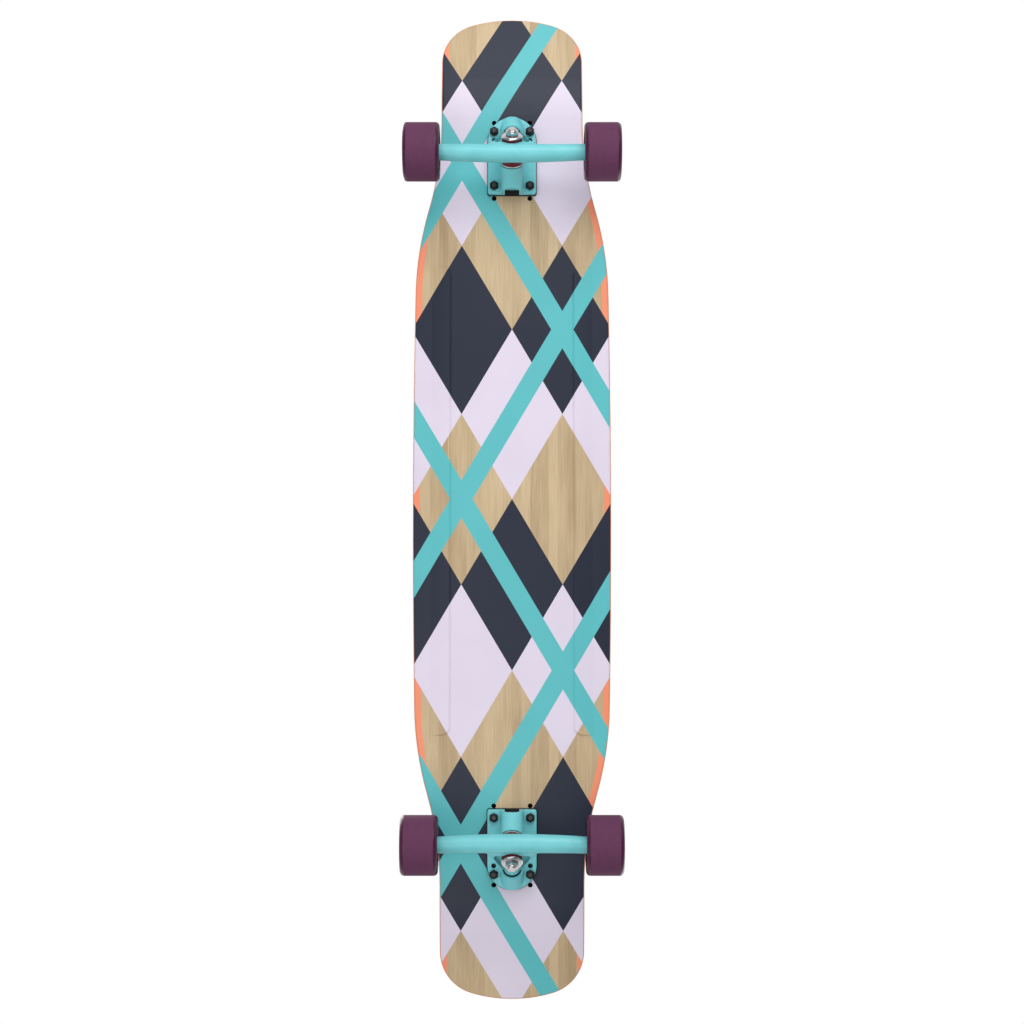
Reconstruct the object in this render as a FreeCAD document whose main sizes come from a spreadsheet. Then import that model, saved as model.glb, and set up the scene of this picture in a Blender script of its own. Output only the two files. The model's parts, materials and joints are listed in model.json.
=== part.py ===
import FreeCAD, Part
import math
import os

import Sketcher

# Longboard skateboard: +X to the nose, +Y to the left, +Z up, wheels standing on Z = 0.
# Lengths are millimetres and angles are degrees.
SIZES = {
    # Deck, pressed from plies, with the same kick at nose and tail
    "deck_length": 1140,
    "deck_width": 228,
    "shoulder_width": 223.6,
    "shoulder_length": 208,
    "neck_width": 164,
    "neck_length": 130,
    "tip_radius": 160,
    "corner_radius": 50,
    "deck_thickness": 12,
    "deck_edge_round": 3,
    "concave_flat_width": 66,
    "concave_radius": 560,
    "kick_length": 123,
    "kick_radius": 150,
    "kick_angle": 18,
    "rail_place": 69.5,
    "rail_width": 23,
    "rail_step": 2.6,
    "rail_height": 2,
    "rail_setback": 301,
    "rail_corner": 13,
    "grip_thickness": 0.9,
    "grip_margin": 0.6,
    # Truck hardware
    "truck_setback": 176.5,
    "bolt_long": 63.5,
    "bolt_wide": 41.275,
    "deck_spare_step": 12.7,
    "plate_spare_step": 9.525,
    "bolt_hole": 5.5,
    "bolt_diameter": 4.8,
    "bolt_head_diameter": 9.4,
    "bolt_end": 1.6,
    "mount_nut_flats": 9.5,
    "mount_nut_height": 4.4,
    "mount_nut_collar": 1.6,
    "riser_thickness": 3,
    "riser_margin": 0.8,
    # Baseplate
    "plate_thickness": 6,
    "plate_width": 55.6,
    "plate_inboard": 41,
    "plate_outboard": 49,
    "plate_corner": 3,
    "cast_round": 1.5,
    "end_slant": 5,
    "boss_diameter": 25.6,
    "boss_wall": 14,
    "head_pocket_width": 16.5,
    "head_pocket_rise": 9.5,
    "head_pocket_drop": 10.4,
    "head_pocket_corner": 5,
    "pivot_mouth": 34.5,
    # Kingpin stack
    "kingpin_angle": 40,
    "ring_reach": 2.94,
    "ring_drop": 47.47,
    "ring_thickness": 8,
    "ring_bore": 14,
    "kingpin_diameter": 9.5,
    "kingpin_length": 58.9,
    "kingpin_head_flats": 14.3,
    "kingpin_head_height": 6.4,
    "kingpin_nut_height": 4.7,
    "kingpin_nut_collar": 1.6,
    "washer_diameter": 24.4,
    "washer_sheet": 1.5,
    "washer_lip": 0.9,
    "washer_wall": 0.9,
    "bushing_diameter": 22.2,
    "bushing_crown": 0.5,
    "boardside_bushing": 14.5,
    "roadside_bushing": 12.2,
    # Hanger and pivot
    "hanger_width": 179,
    "beam_end_diameter": 18.2,
    "beam_mid_diameter": 21,
    "beam_bow": 3.5,
    "beam_drop": 17,
    "beam_reach": 3.9,
    "tongue_flare": 84,
    "tongue_width": 50,
    "tongue_thickness": 18,
    "tongue_waist_place": 2,
    "tongue_middle_rise": 3,
    "tongue_knee_place": 14,
    "tongue_knee_width": 34,
    "tongue_tip_place": 27.5,
    "tongue_root_round": 5,
    "recess_width": 40,
    "recess_base": 8,
    "recess_knee_place": 15,
    "recess_knee_width": 25,
    "recess_apex": 23,
    "recess_corner": 3,
    "nose_diameter": 15.6,
    "nose_length": 9,
    "nose_shoulder": 1.2,
    "cup_wall": 2.4,
    "cup_floor": 1.8,
    # Axle, bearings and wheels
    "axle_diameter": 8,
    "axle_stand_out": 0.8,
    "axle_chamfer": 0.8,
    "axle_nut_flats": 12.7,
    "axle_nut_height": 4.6,
    "axle_nut_collar": 1.9,
    "speed_ring_diameter": 11.4,
    "speed_ring_thickness": 1,
    "bearing_diameter": 22,
    "bearing_width": 7,
    "bearing_gap": 10,
    "ball_pitch": 15,
    "ball_diameter": 3.97,
    "inner_land": 12,
    "outer_land": 18,
    "cage_wall": 1.1,
    "cage_web": 0.6,
    "shield_sheet": 0.35,
    "shield_inset": 0.25,
    "spacer_diameter": 10.6,
    "wheel_diameter": 66.5,
    "wheel_width": 41.5,
    "tyre_lip": 4.5,
    "tyre_dish": 2.2,
    "dish_diameter": 48,
    "core_diameter": 35,
    "core_width": 27,
    "core_land": 18.4,
    # Fits and overrun
    "running_fit": 0.09,
    "free_gap": 0.35,
    "seat_gap": 0.5,
    "bolt_fit": 0.15,
    "overrun": 60,
}

BALL_COUNT = 7
HEXAGON_SHARE = 1 / math.sqrt(3)
HALF_SHARE = 0.5
# What a 45 degree point of a round corner leaves between itself and the corner's straight edges.
EASE_SHARE = 1 - math.sqrt(HALF_SHARE)
S_BULGE_SHARE = 0.125
S_QUARTER_SHARE = 0.25
RAIL_CROWN_SHARE = 0.15
COLLAR_SHARE = 0.86
NOSE_ROUND_SHARE = 0.5
# Sections of a hanger's beam, as shares of its half length.
BEAM_RING_SHARES = {"right": -1, "mid_right": -0.5, "middle": 0, "mid_left": 0.5, "left": 1}
LEVEL_SHARE = 0.05
HEAD_CONE_ANGLE = 45
# A sketch counts its axes down from -1 and the points of an edge up from 1; its origin is on the first axis.
ACROSS_AXIS, UP_AXIS = range(-1, -3, -1)
START, END, CENTRE = range(1, 4)
FULL_ANGLE = 360
RIGHT_ANGLE = 90
FRONT, REAR = ENDS = ("front", "rear")
LEFT, RIGHT = SIDES = ("left", "right")
UP = FreeCAD.Vector(0, 0, 1)
ACROSS = FreeCAD.Vector(0, 1, 0)
ALONG = FreeCAD.Vector(1, 0, 0)

doc = FreeCAD.newDocument("longboard")
sheet = doc.addObject("Spreadsheet::Sheet", "sizes")
for row, (name, number) in enumerate(SIZES.items(), start=1):
    sheet.set("A%d" % row, name)
    sheet.set("B%d" % row, str(number))
    sheet.setAlias("B%d" % row, name)
doc.recompute()


def formula_of(item):
    return item.formula if isinstance(item, Size) else repr(item)


def value_of(item):
    return item.value if isinstance(item, Size) else item


class Size:
    """A number together with the sheet formula that gives it."""

    def __init__(self, value, formula):
        self.value = value
        self.formula = formula

    def join(self, other, sign, value):
        return Size(value, "(%s %s %s)" % (self.formula, sign, formula_of(other)))

    def __add__(self, other):
        return self.join(other, "+", self.value + value_of(other))

    def __sub__(self, other):
        return self.join(other, "-", self.value - value_of(other))

    def __mul__(self, other):
        return self.join(other, "*", self.value * value_of(other))

    def __truediv__(self, other):
        return self.join(other, "/", self.value / value_of(other))

    def __neg__(self):
        return Size(-self.value, "(-%s)" % self.formula)

    def __rmul__(self, other):
        return self * other


def size(name):
    return Size(float(sheet.get(name)), "sizes." + name)


def half(name):
    return size(name) * HALF_SHARE


def cosine(angle):
    return Size(math.cos(math.radians(angle.value)), "cos(%s * 1 deg)" % angle.formula)


def sine(angle):
    return Size(math.sin(math.radians(angle.value)), "sin(%s * 1 deg)" % angle.formula)


def tangent(angle):
    return Size(math.tan(math.radians(angle.value)), "tan(%s * 1 deg)" % angle.formula)


def root(item):
    return Size(math.sqrt(item.value), "sqrt(%s)" % item.formula)


def vector(point):
    return FreeCAD.Vector(*[value_of(item) for item in point])


def flat_vector(point):
    return FreeCAD.Vector(value_of(point[0]), value_of(point[1]), 0)


def bind(target, path, item):
    """Ties a property to its sheet formula; a plain zero is set as it is."""
    if isinstance(item, Size):
        target.setExpression(path, item.formula)


def bind_base(target, path, point):
    for letter, item in zip("xyz", point):
        bind(target, "%s.Base.%s" % (path, letter), item)


# Sketch helpers

def new_body(label):
    body = doc.addObject("PartDesign::Body", label)
    body.Label = label
    body.AllowCompound = True
    return body


def origin_part(body, role):
    return next(item for item in body.Origin.OriginFeatures if item.Role == role)


def new_sketch(body, role, name, base=(0, 0, 0), turn=None):
    """A sketch on one of the body's origin planes, moved by base and turned in that plane's frame."""
    sketch = body.newObject("Sketcher::SketchObject", "%s_%s" % (body.Label, name))
    sketch.AttachmentSupport = [(origin_part(body, role), "")]
    sketch.MapMode = "FlatFace"
    sketch.AttachmentOffset = FreeCAD.Placement(vector(base), turn or FreeCAD.Rotation())
    bind_base(sketch, "AttachmentOffset", base)
    return sketch


def fix_point(sketch, geometry, vertex, point):
    for kind, axis, item in (("DistanceX", UP_AXIS, point[0]), ("DistanceY", ACROSS_AXIS, point[1])):
        if isinstance(item, Size):
            rule = Sketcher.Constraint(kind, ACROSS_AXIS, START, geometry, vertex, item.value)
            index = sketch.addConstraint(rule)
            sketch.setExpression("Constraints[%d]" % index, item.formula)
        else:
            sketch.addConstraint(Sketcher.Constraint("PointOnObject", geometry, vertex, axis))


def draw_edge(sketch, start, end, via=None):
    """A line, or an arc through a third point; returns its index and its start and end vertices."""
    first, last = flat_vector(start), flat_vector(end)
    if via is None:
        return sketch.addGeometry(Part.LineSegment(first, last), False), START, END
    middle = flat_vector(via)
    leftward = (middle - first).cross(last - middle).z > 0
    arc = Part.Arc(first, middle, last) if leftward else Part.Arc(last, middle, first)
    index = sketch.addGeometry(arc, False)
    mark = sketch.addGeometry(Part.Point(middle), True)
    sketch.addConstraint(Sketcher.Constraint("PointOnObject", mark, START, index))
    fix_point(sketch, mark, START, via)
    return (index, START, END) if leftward else (index, END, START)


def outline(sketch, corners):
    """A closed outline; a corner with a third item has an arc through that point to the next corner."""
    edges = [draw_edge(sketch, corner, following, *corner[2:])
             for corner, following in zip(corners, corners[1:] + corners[:1])]
    for corner, (index, start, _), (before, _, before_end) in zip(corners, edges, edges[-1:] + edges[:-1]):
        sketch.addConstraint(Sketcher.Constraint("Coincident", before, before_end, index, start))
        fix_point(sketch, index, start, corner)


def rectangle(sketch, low, high):
    outline(sketch, [low, (high[0], low[1]), high, (low[0], high[1])])


def circle(sketch, centre, radius):
    index = sketch.addGeometry(Part.Circle(flat_vector(centre), UP, radius.value), False)
    fix_point(sketch, index, CENTRE, centre)
    rule = sketch.addConstraint(Sketcher.Constraint("Radius", index, radius.value))
    sketch.setExpression("Constraints[%d]" % rule, radius.formula)


def hexagon(sketch, centre, flats):
    reach = flats * HEXAGON_SHARE
    lean = reach * HALF_SHARE
    side = flats * HALF_SHARE
    x, y = centre
    outline(sketch, [(x + reach, y), (x + lean, y + side), (x - lean, y + side),
                     (x - reach, y), (x - lean, y - side), (x + lean, y - side)])


# Feature helpers

def feature(body, kind, sketch, name):
    item = body.newObject("PartDesign::" + kind, "%s_%s" % (body.Label, name))
    item.Profile = sketch
    return item


def pad(body, sketch, name, length, reverse=False, both=False, taper=0):
    item = feature(body, "Pad", sketch, name)
    item.SideType = "Symmetric" if both else "One side"
    item.Reversed = reverse
    item.TaperAngle = taper
    bind(item, "Length", length)
    return item


def pocket(body, sketch, name, length=None, reverse=False, taper=0):
    """A cut of a given depth, or right through both ways when no depth is given."""
    item = feature(body, "Pocket", sketch, name)
    item.Reversed = reverse
    item.TaperAngle = taper
    if length is None:
        item.SideType = "Symmetric"
        item.Type = "ThroughAll"
    else:
        bind(item, "Length", length)
    return item


def revolve(body, sketch, name, kind="Revolution", axis="V_Axis"):
    item = feature(body, kind, sketch, name)
    item.ReferenceAxis = (sketch, [axis])
    item.Angle = FULL_ANGLE
    return item


def round_edges(body, name, radius, chosen):
    """Rounds the edges of the body's tip that the test picks."""
    doc.recompute()
    base = body.Tip
    names = ["Edge%d" % place for place, edge in enumerate(base.Shape.Edges, start=1) if chosen(edge)]
    item = body.newObject("PartDesign::Fillet", "%s_%s" % (body.Label, name))
    item.Base = (base, names)
    bind(item, "Radius", radius)
    return item


def turned_piece(label, *outlines):
    """A piece turned about its own Z axis from outlines of radius and height."""
    body = new_body(label)
    sketch = new_sketch(body, "XZ_Plane", "profile")
    for corners in outlines:
        outline(sketch, corners)
    revolve(body, sketch, "turn")
    return body


def tube(inner, outer, low, high):
    """Corners of a plain ring's half section."""
    return [(inner, low), (outer, low), (outer, high), (inner, high)]


def place(item, base, rotation=None):
    item.Placement = FreeCAD.Placement(vector(base), rotation or FreeCAD.Rotation())
    bind_base(item, "Placement", base)
    return item


# Places shared by several pieces

ZERO = size("overrun") * 0
KINGPIN_ANGLE = size("kingpin_angle")
LEAN_COS = cosine(KINGPIN_ANGLE)
LEAN_SIN = sine(KINGPIN_ANGLE)
KINGPIN_TURN = FreeCAD.Rotation(ACROSS, RIGHT_ANGLE + KINGPIN_ANGLE.value)
PIVOT_TURN = FreeCAD.Rotation(ACROSS, KINGPIN_ANGLE.value)
WHEEL_RADIUS = half("wheel_diameter")
AXLE_RADIUS = half("axle_diameter")
AXLE_DROP = size("ring_drop") + size("beam_reach") * LEAN_SIN + size("beam_drop") * LEAN_COS
UNDERSIDE = WHEEL_RADIUS + AXLE_DROP
DECK_TOP = UNDERSIDE + size("deck_thickness")
TIP_PLACE = half("deck_length")
NECK_PLACE = TIP_PLACE - size("neck_length")
SHOULDER_PLACE = NECK_PLACE - size("shoulder_length")
KICK_PLACE = TIP_PLACE - size("kick_length")
RAIL_REACH = TIP_PLACE - size("rail_setback")
TRUCK_PLACE = TIP_PLACE - size("truck_setback")
AXLE_PLACE = (TRUCK_PLACE + size("ring_reach") + size("beam_reach") * LEAN_COS
              - size("beam_drop") * LEAN_SIN)
PLATE_FOOT = size("riser_thickness") + size("plate_thickness")
RING_HALF = half("ring_thickness")
SEAT_PLACE = RING_HALF + size("boardside_bushing") + size("washer_sheet")
HEAD_PLACE = SEAT_PLACE + size("boss_wall")
ROAD_WASHER_PLACE = RING_HALF + size("roadside_bushing")
NOSE_RADIUS = half("nose_diameter")
CUP_BORE = NOSE_RADIUS + size("running_fit")
CUP_RADIUS = CUP_BORE + size("cup_wall")
CUP_DEPTH = size("nose_length") + size("free_gap") + size("cup_floor")
BEARING_START = half("hanger_width") + size("speed_ring_thickness")
BEARING_END = BEARING_START + size("bearing_width") * 2 + size("bearing_gap")
NUT_SEAT = BEARING_END + size("speed_ring_thickness")
AXLE_REACH = NUT_SEAT + size("axle_nut_height") + size("axle_nut_collar") + size("axle_stand_out")
WHEEL_PLACE = BEARING_START + size("bearing_width") + half("bearing_gap")
BEARING_CENTRE = (size("bearing_gap") + size("bearing_width")) * HALF_SHARE
BOLT_X = half("bolt_long")
BOLT_Y = half("bolt_wide")
HEAD_DEPTH = (size("bolt_head_diameter") - size("bolt_diameter")) * HALF_SHARE


def sign_of(word):
    """The sign of an end or a side: front and left are positive."""
    return 1 if word in (FRONT, LEFT) else -1


def truck_placement(end):
    """The frame of one truck: X outboard, Z up, at the middle of its bolts on the deck's underside."""
    turn = FreeCAD.Rotation() if end == FRONT else FreeCAD.Rotation(UP, FULL_ANGLE * HALF_SHARE)
    return (TRUCK_PLACE * sign_of(end), 0, UNDERSIDE), turn


def along_kingpin(distance):
    """A point on the kingpin axis in the truck's frame, counted from the ring towards the road."""
    return (size("ring_reach") + LEAN_COS * distance, -size("ring_drop") - LEAN_SIN * distance)


def from_ring(point, across_axis):
    """A side-view point moved along the pivot axis, towards the pivot."""
    return point[0] + LEAN_SIN * across_axis, point[1] + LEAN_COS * across_axis


def place_on_kingpin(body, end, distance=0):
    """Sets a piece turned about Z on the kingpin, with its Z towards the road."""
    base, turn = truck_placement(end)
    reach, height = along_kingpin(distance)
    return place(body, (base[0] + reach * sign_of(end), 0, base[2] + height), turn * KINGPIN_TURN)


def place_on_axle(body, end):
    """Sets a piece turned about Z on the axle, with its Z to the left."""
    turn = FreeCAD.Rotation(ALONG, -RIGHT_ANGLE)
    return place(body, (AXLE_PLACE * sign_of(end), 0, WHEEL_RADIUS), turn)


def place_in_wheel(body, end, side):
    """Sets a piece turned about Z at the middle of a wheel, with its Z outwards."""
    turn = FreeCAD.Rotation(ALONG, -RIGHT_ANGLE * sign_of(side))
    return place(body, (AXLE_PLACE * sign_of(end), WHEEL_PLACE * sign_of(side), WHEEL_RADIUS), turn)


# Deck and grip tape

def deck_outline(sketch, inset):
    """The plan of the deck: bowed sides, an S curve into each neck, and round-cornered ends."""
    side = half("deck_width") - inset
    shoulder = half("shoulder_width") - inset
    neck = half("neck_width") - inset
    shoulder_x = SHOULDER_PLACE
    neck_x = NECK_PLACE
    tip_x = TIP_PLACE - inset
    tip_radius = size("tip_radius") - inset
    corner = size("corner_radius") - inset
    # The corner circle touches the neck line and the inside of the tip circle.
    corner_y = neck - corner
    spread = tip_radius - corner
    corner_x = tip_x - tip_radius + root(spread * spread - corner_y * corner_y)
    touch = tip_radius / spread
    touch_x = tip_x - tip_radius + (corner_x - tip_x + tip_radius) * touch
    touch_y = corner_y * touch
    ease = corner * EASE_SHARE
    # Two equal arcs make the S curve; its middle is the point between their ends.
    middle_x = (shoulder_x + neck_x) * HALF_SHARE
    middle_y = (shoulder + neck) * HALF_SHARE
    run = neck_x - shoulder_x
    drop = shoulder - neck
    bulge = drop * S_BULGE_SHARE
    quarter_x = run * S_QUARTER_SHARE
    quarter_y = drop * S_QUARTER_SHARE
    corners = []
    for sign_x, sign_y in ((1, 1), (1, -1), (-1, -1), (-1, 1)):
        way = [
            (shoulder_x, shoulder, (shoulder_x + quarter_x, shoulder - quarter_y + bulge)),
            (middle_x, middle_y, (neck_x - quarter_x, neck + quarter_y - bulge)),
            (neck_x, neck),
            (corner_x, neck, (corner_x + corner - ease, neck - ease)),
            (touch_x, touch_y, (tip_x, 0)),
        ]
        corners.append([turned_corner(corner, sign_x, sign_y) for corner in way])
    front_left, front_right, rear_right, rear_left = corners
    outline(sketch, front_left + backwards(front_right, (0, -side))
            + rear_right + backwards(rear_left, (0, side)))


def turned_corner(corner, sign_x, sign_y):
    return tuple((item[0] * sign_x, item[1] * sign_y) if isinstance(item, tuple) else item
                 for item in (corner[0] * sign_x, corner[1] * sign_y) + tuple(corner[2:]))


def backwards(corners, closing_via):
    """The same stretch walked the other way, closed by an arc to the next stretch."""
    turned = list(reversed(corners))
    vias = [corner[2] if len(corner) > 2 else None for corner in turned[1:]] + [closing_via]
    walked = []
    for corner, via in zip(turned, vias):
        walked.append((corner[0], corner[1], via) if via else (corner[0], corner[1]))
    return walked


def pressed_sheet(label, low, thickness, inset):
    """A concave sheet swept along flat and kick, mirrored, and trimmed to the deck's plan."""
    body = new_body(label)
    bottom = UNDERSIDE + low
    flat = half("concave_flat_width")
    blank = half("deck_width") + size("deck_thickness")
    bend = size("concave_radius")
    section = new_sketch(body, "YZ_Plane", "section")

    def rise(across, offset):
        """Height of the concave arc at a distance from the flat."""
        radius = bend - offset
        return radius - root(radius * radius - across * across)

    span = blank - flat
    mid = span * HALF_SHARE
    top = bottom + thickness
    outline(section, [
        (-flat, bottom),
        (flat, bottom, (flat + mid, bottom + rise(mid, low))),
        (blank, bottom + rise(span, low)),
        (blank, top + rise(span, low + thickness), (flat + mid, top + rise(mid, low + thickness))),
        (flat, top),
        (-flat, top, (-flat - mid, top + rise(mid, low + thickness))),
        (-blank, top + rise(span, low + thickness)),
        (-blank, bottom + rise(span, low), (-flat - mid, bottom + rise(mid, low))),
    ])
    path = new_sketch(body, "XZ_Plane", "spine")
    kick = size("kick_angle")
    start_x = KICK_PLACE
    bend_radius = size("kick_radius") - low
    bend_x = start_x + bend_radius * sine(kick)
    bend_z = bottom + bend_radius - bend_radius * cosine(kick)
    half_kick = kick * HALF_SHARE
    mid_x = start_x + bend_radius * sine(half_kick)
    mid_z = bottom + bend_radius - bend_radius * cosine(half_kick)
    end_x = TIP_PLACE + size("deck_thickness")
    end_z = bend_z + (end_x - bend_x) * tangent(kick)
    open_path(path, [(0, bottom), (start_x, bottom, (mid_x, mid_z)), (bend_x, bend_z), (end_x, end_z)])
    sweep = feature(body, "AdditivePipe", section, "sweep")
    sweep.Spine = (path, [])
    doc.recompute()
    twin = body.newObject("PartDesign::Mirrored", label + "_twin")
    twin.Originals = [sweep]
    twin.MirrorPlane = (origin_part(body, "YZ_Plane"), [""])
    body.Tip = twin
    trim = new_sketch(body, "XY_Plane", "plan")
    reach_x = TIP_PLACE + size("overrun")
    reach_y = half("deck_width") + size("overrun")
    rectangle(trim, (-reach_x, -reach_y), (reach_x, reach_y))
    deck_outline(trim, inset)
    pocket(body, trim, "trim")
    return body


def open_path(sketch, corners):
    """An open chain of lines and arcs."""
    edges = [draw_edge(sketch, corner, following, *corner[2:])
             for corner, following in zip(corners, corners[1:])]
    for corner, (index, start, _) in zip(corners, edges):
        fix_point(sketch, index, start, corner)
    last, _, last_end = edges[-1]
    fix_point(sketch, last, last_end, corners[-1])
    for (before, _, before_end), (after, after_start, _) in zip(edges, edges[1:]):
        sketch.addConstraint(Sketcher.Constraint("Coincident", before, before_end, after, after_start))


def bolt_places():
    """The eight bolts in plan: four corners at each truck."""
    return [(TRUCK_PLACE * sign_of(end) + BOLT_X * sign_of(row), BOLT_Y * sign_of(side))
            for end in ENDS for row in ENDS for side in SIDES]


def spare_places():
    """The deck's spare holes: one row beyond the bolts at each end of each truck."""
    reach = BOLT_X + size("deck_spare_step")
    return [(TRUCK_PLACE * sign_of(end) + reach * sign_of(row), BOLT_Y * sign_of(side))
            for end in ENDS for row in ENDS for side in SIDES]


def build_rail(side):
    """A pressed rail under the deck: steep towards the middle, easing out to the edge, round-ended."""
    body = new_body("rail_" + side)
    sign = sign_of(side)
    bend = size("concave_radius")

    def surface(across):
        span = across - half("concave_flat_width")
        return UNDERSIDE + bend - root(bend * bend - span * span)

    inner = size("rail_place")
    crest = inner + size("rail_step")
    outer = inner + size("rail_width")
    middle = (crest + outer) * HALF_SHARE
    inside = UNDERSIDE + half("deck_thickness")
    crest_z = surface(crest) - size("rail_height")
    middle_z = (crest_z + surface(outer)) * HALF_SHARE - size("rail_height") * RAIL_CROWN_SHARE
    section = new_sketch(body, "YZ_Plane", "section")
    outline(section, [
        (inner * sign, surface(inner)),
        (crest * sign, crest_z, (middle * sign, middle_z)),
        (outer * sign, surface(outer)),
        (outer * sign, inside),
        (inner * sign, inside),
    ])
    pad(body, section, "run", RAIL_REACH * 2, both=True)
    plan = new_sketch(body, "XY_Plane", "plan")
    reach = RAIL_REACH
    corner = size("rail_corner")
    ease = corner * EASE_SHARE
    spare = size("overrun")
    outline(plan, [(-reach - spare, -outer - spare), (reach + spare, -outer - spare),
                   (reach + spare, outer + spare), (-reach - spare, outer + spare)])
    outline(plan, [
        (corner - reach, inner * sign),
        (reach - corner, inner * sign, (reach - ease, (inner + ease) * sign)),
        (reach, (inner + corner) * sign),
        (reach, (outer + corner) * sign),
        (-reach, (outer + corner) * sign),
        (-reach, (inner + corner) * sign, (ease - reach, (inner + ease) * sign)),
    ])
    pocket(body, plan, "round_ends")
    return body


def build_deck():
    body = pressed_sheet("deck", ZERO, size("deck_thickness"), ZERO)
    round_edges(body, "edge_round", size("deck_edge_round"), rim_test(body))
    rails = body.newObject("PartDesign::Boolean", "deck_rails")
    rails.Type = "Fuse"
    rails.Group = [build_rail(LEFT), build_rail(RIGHT)]
    doc.recompute()
    holes = new_sketch(body, "XY_Plane", "holes")
    for spot in bolt_places() + spare_places():
        circle(holes, spot, half("bolt_hole"))
    pocket(body, holes, "holes_cut")
    sinks = new_sketch(body, "XY_Plane", "countersinks", (0, 0, DECK_TOP + size("grip_thickness")))
    for spot in bolt_places():
        circle(sinks, spot, half("bolt_head_diameter") + size("bolt_fit"))
    pocket(body, sinks, "countersink_cut", HEAD_DEPTH + size("bolt_fit"), taper=-HEAD_CONE_ANGLE)
    return body


def rim_test(body):
    """Picks the edges where upright outer walls meet the upper and lower faces."""
    doc.recompute()
    walls = [face for face in body.Tip.Shape.Faces if is_upright(face)]
    rims = [edge for wall in walls for edge in wall.Edges if not is_post(edge)]
    return lambda edge: any(edge.isSame(rim) for rim in rims)


def is_upright(face):
    low_u, high_u, low_v, high_v = face.ParameterRange
    normal = face.normalAt((low_u + high_u) * HALF_SHARE, (low_v + high_v) * HALF_SHARE)
    return abs(normal.z) < LEVEL_SHARE


def is_post(edge):
    run = edge.Vertexes[-1].Point - edge.Vertexes[0].Point
    return abs(run.z) > (1 - LEVEL_SHARE) * edge.Length


def build_grip_tape():
    inset = size("deck_edge_round") + size("grip_margin")
    body = pressed_sheet("grip_tape", size("deck_thickness"), size("grip_thickness"), inset)
    holes = new_sketch(body, "XY_Plane", "holes")
    for spot in bolt_places():
        circle(holes, spot, half("bolt_head_diameter") + size("bolt_fit"))
    pocket(body, holes, "holes_cut")
    return body


# Bolts and nuts that hold both trucks

def build_mount_bolts():
    """Countersunk bolts, heads flush with the grip tape, ends standing out of the nuts."""
    body = new_body("mount_bolts")
    top = DECK_TOP + size("grip_thickness")
    foot = UNDERSIDE - PLATE_FOOT - size("mount_nut_height") - size("mount_nut_collar") - size("bolt_end")
    shanks = new_sketch(body, "XY_Plane", "shanks", (0, 0, foot))
    heads = new_sketch(body, "XY_Plane", "heads", (0, 0, top))
    for spot in bolt_places():
        circle(shanks, spot, half("bolt_diameter"))
        circle(heads, spot, half("bolt_head_diameter"))
    pad(body, shanks, "shank_pad", top - foot)
    pad(body, heads, "head_pad", HEAD_DEPTH, reverse=True, taper=-HEAD_CONE_ANGLE)
    return body


def build_mount_nuts():
    """Lock nuts under the baseplates: a hexagon and a round collar each."""
    body = new_body("mount_nuts")
    seat = UNDERSIDE - PLATE_FOOT
    hexagons = new_sketch(body, "XY_Plane", "hexagons", (0, 0, seat))
    collars = new_sketch(body, "XY_Plane", "collars", (0, 0, seat - size("mount_nut_height")))
    bores = new_sketch(body, "XY_Plane", "bores", (0, 0, seat))
    for spot in bolt_places():
        hexagon(hexagons, spot, size("mount_nut_flats"))
        circle(collars, spot, size("mount_nut_flats") * COLLAR_SHARE * HALF_SHARE)
        circle(bores, spot, half("bolt_diameter"))
    pad(body, hexagons, "hexagon_pad", size("mount_nut_height"), reverse=True)
    pad(body, collars, "collar_pad", size("mount_nut_collar"), reverse=True)
    pocket(body, bores, "bore_cut")
    return body


# Baseplate and riser pad

def plate_outline(sketch, margin):
    """Square at the inboard end, half round at the outboard end."""
    side = half("plate_width") + margin
    inboard = -size("plate_inboard") - margin
    outboard = size("plate_outboard") + margin
    corner = size("plate_corner")
    ease = corner * EASE_SHARE
    outline(sketch, [
        (outboard - side, -side, (outboard, 0)),
        (outboard - side, side),
        (inboard + corner, side, (inboard + ease, side - ease)),
        (inboard, side - corner),
        (inboard, corner - side, (inboard + ease, ease - side)),
        (inboard + corner, -side),
    ])


def plate_holes(body):
    """Four bolt holes and one spare pair inboard of the outboard bolts."""
    sketch = new_sketch(body, "XY_Plane", "holes")
    for row in (BOLT_X, -BOLT_X, BOLT_X - size("plate_spare_step")):
        for side in SIDES:
            circle(sketch, (row, BOLT_Y * sign_of(side)), half("bolt_hole"))
    pocket(body, sketch, "holes_cut")


def build_riser_pad(end):
    body = new_body(end + "_riser_pad")
    sketch = new_sketch(body, "XY_Plane", "plan")
    plate_outline(sketch, size("riser_margin"))
    pad(body, sketch, "slab", size("riser_thickness"), reverse=True)
    plate_holes(body)
    return place(body, *truck_placement(end))


def is_cast_edge(edge):
    """Picks the edges of the plate's lower face and the curved rims of the pivot boss below it."""
    box = edge.BoundBox
    near = size("running_fit").value
    is_rim = box.XMin > 0 and not isinstance(edge.Curve, Part.Line)
    return box.ZMax < near - PLATE_FOOT.value and (box.ZLength < near or is_rim)


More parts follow.
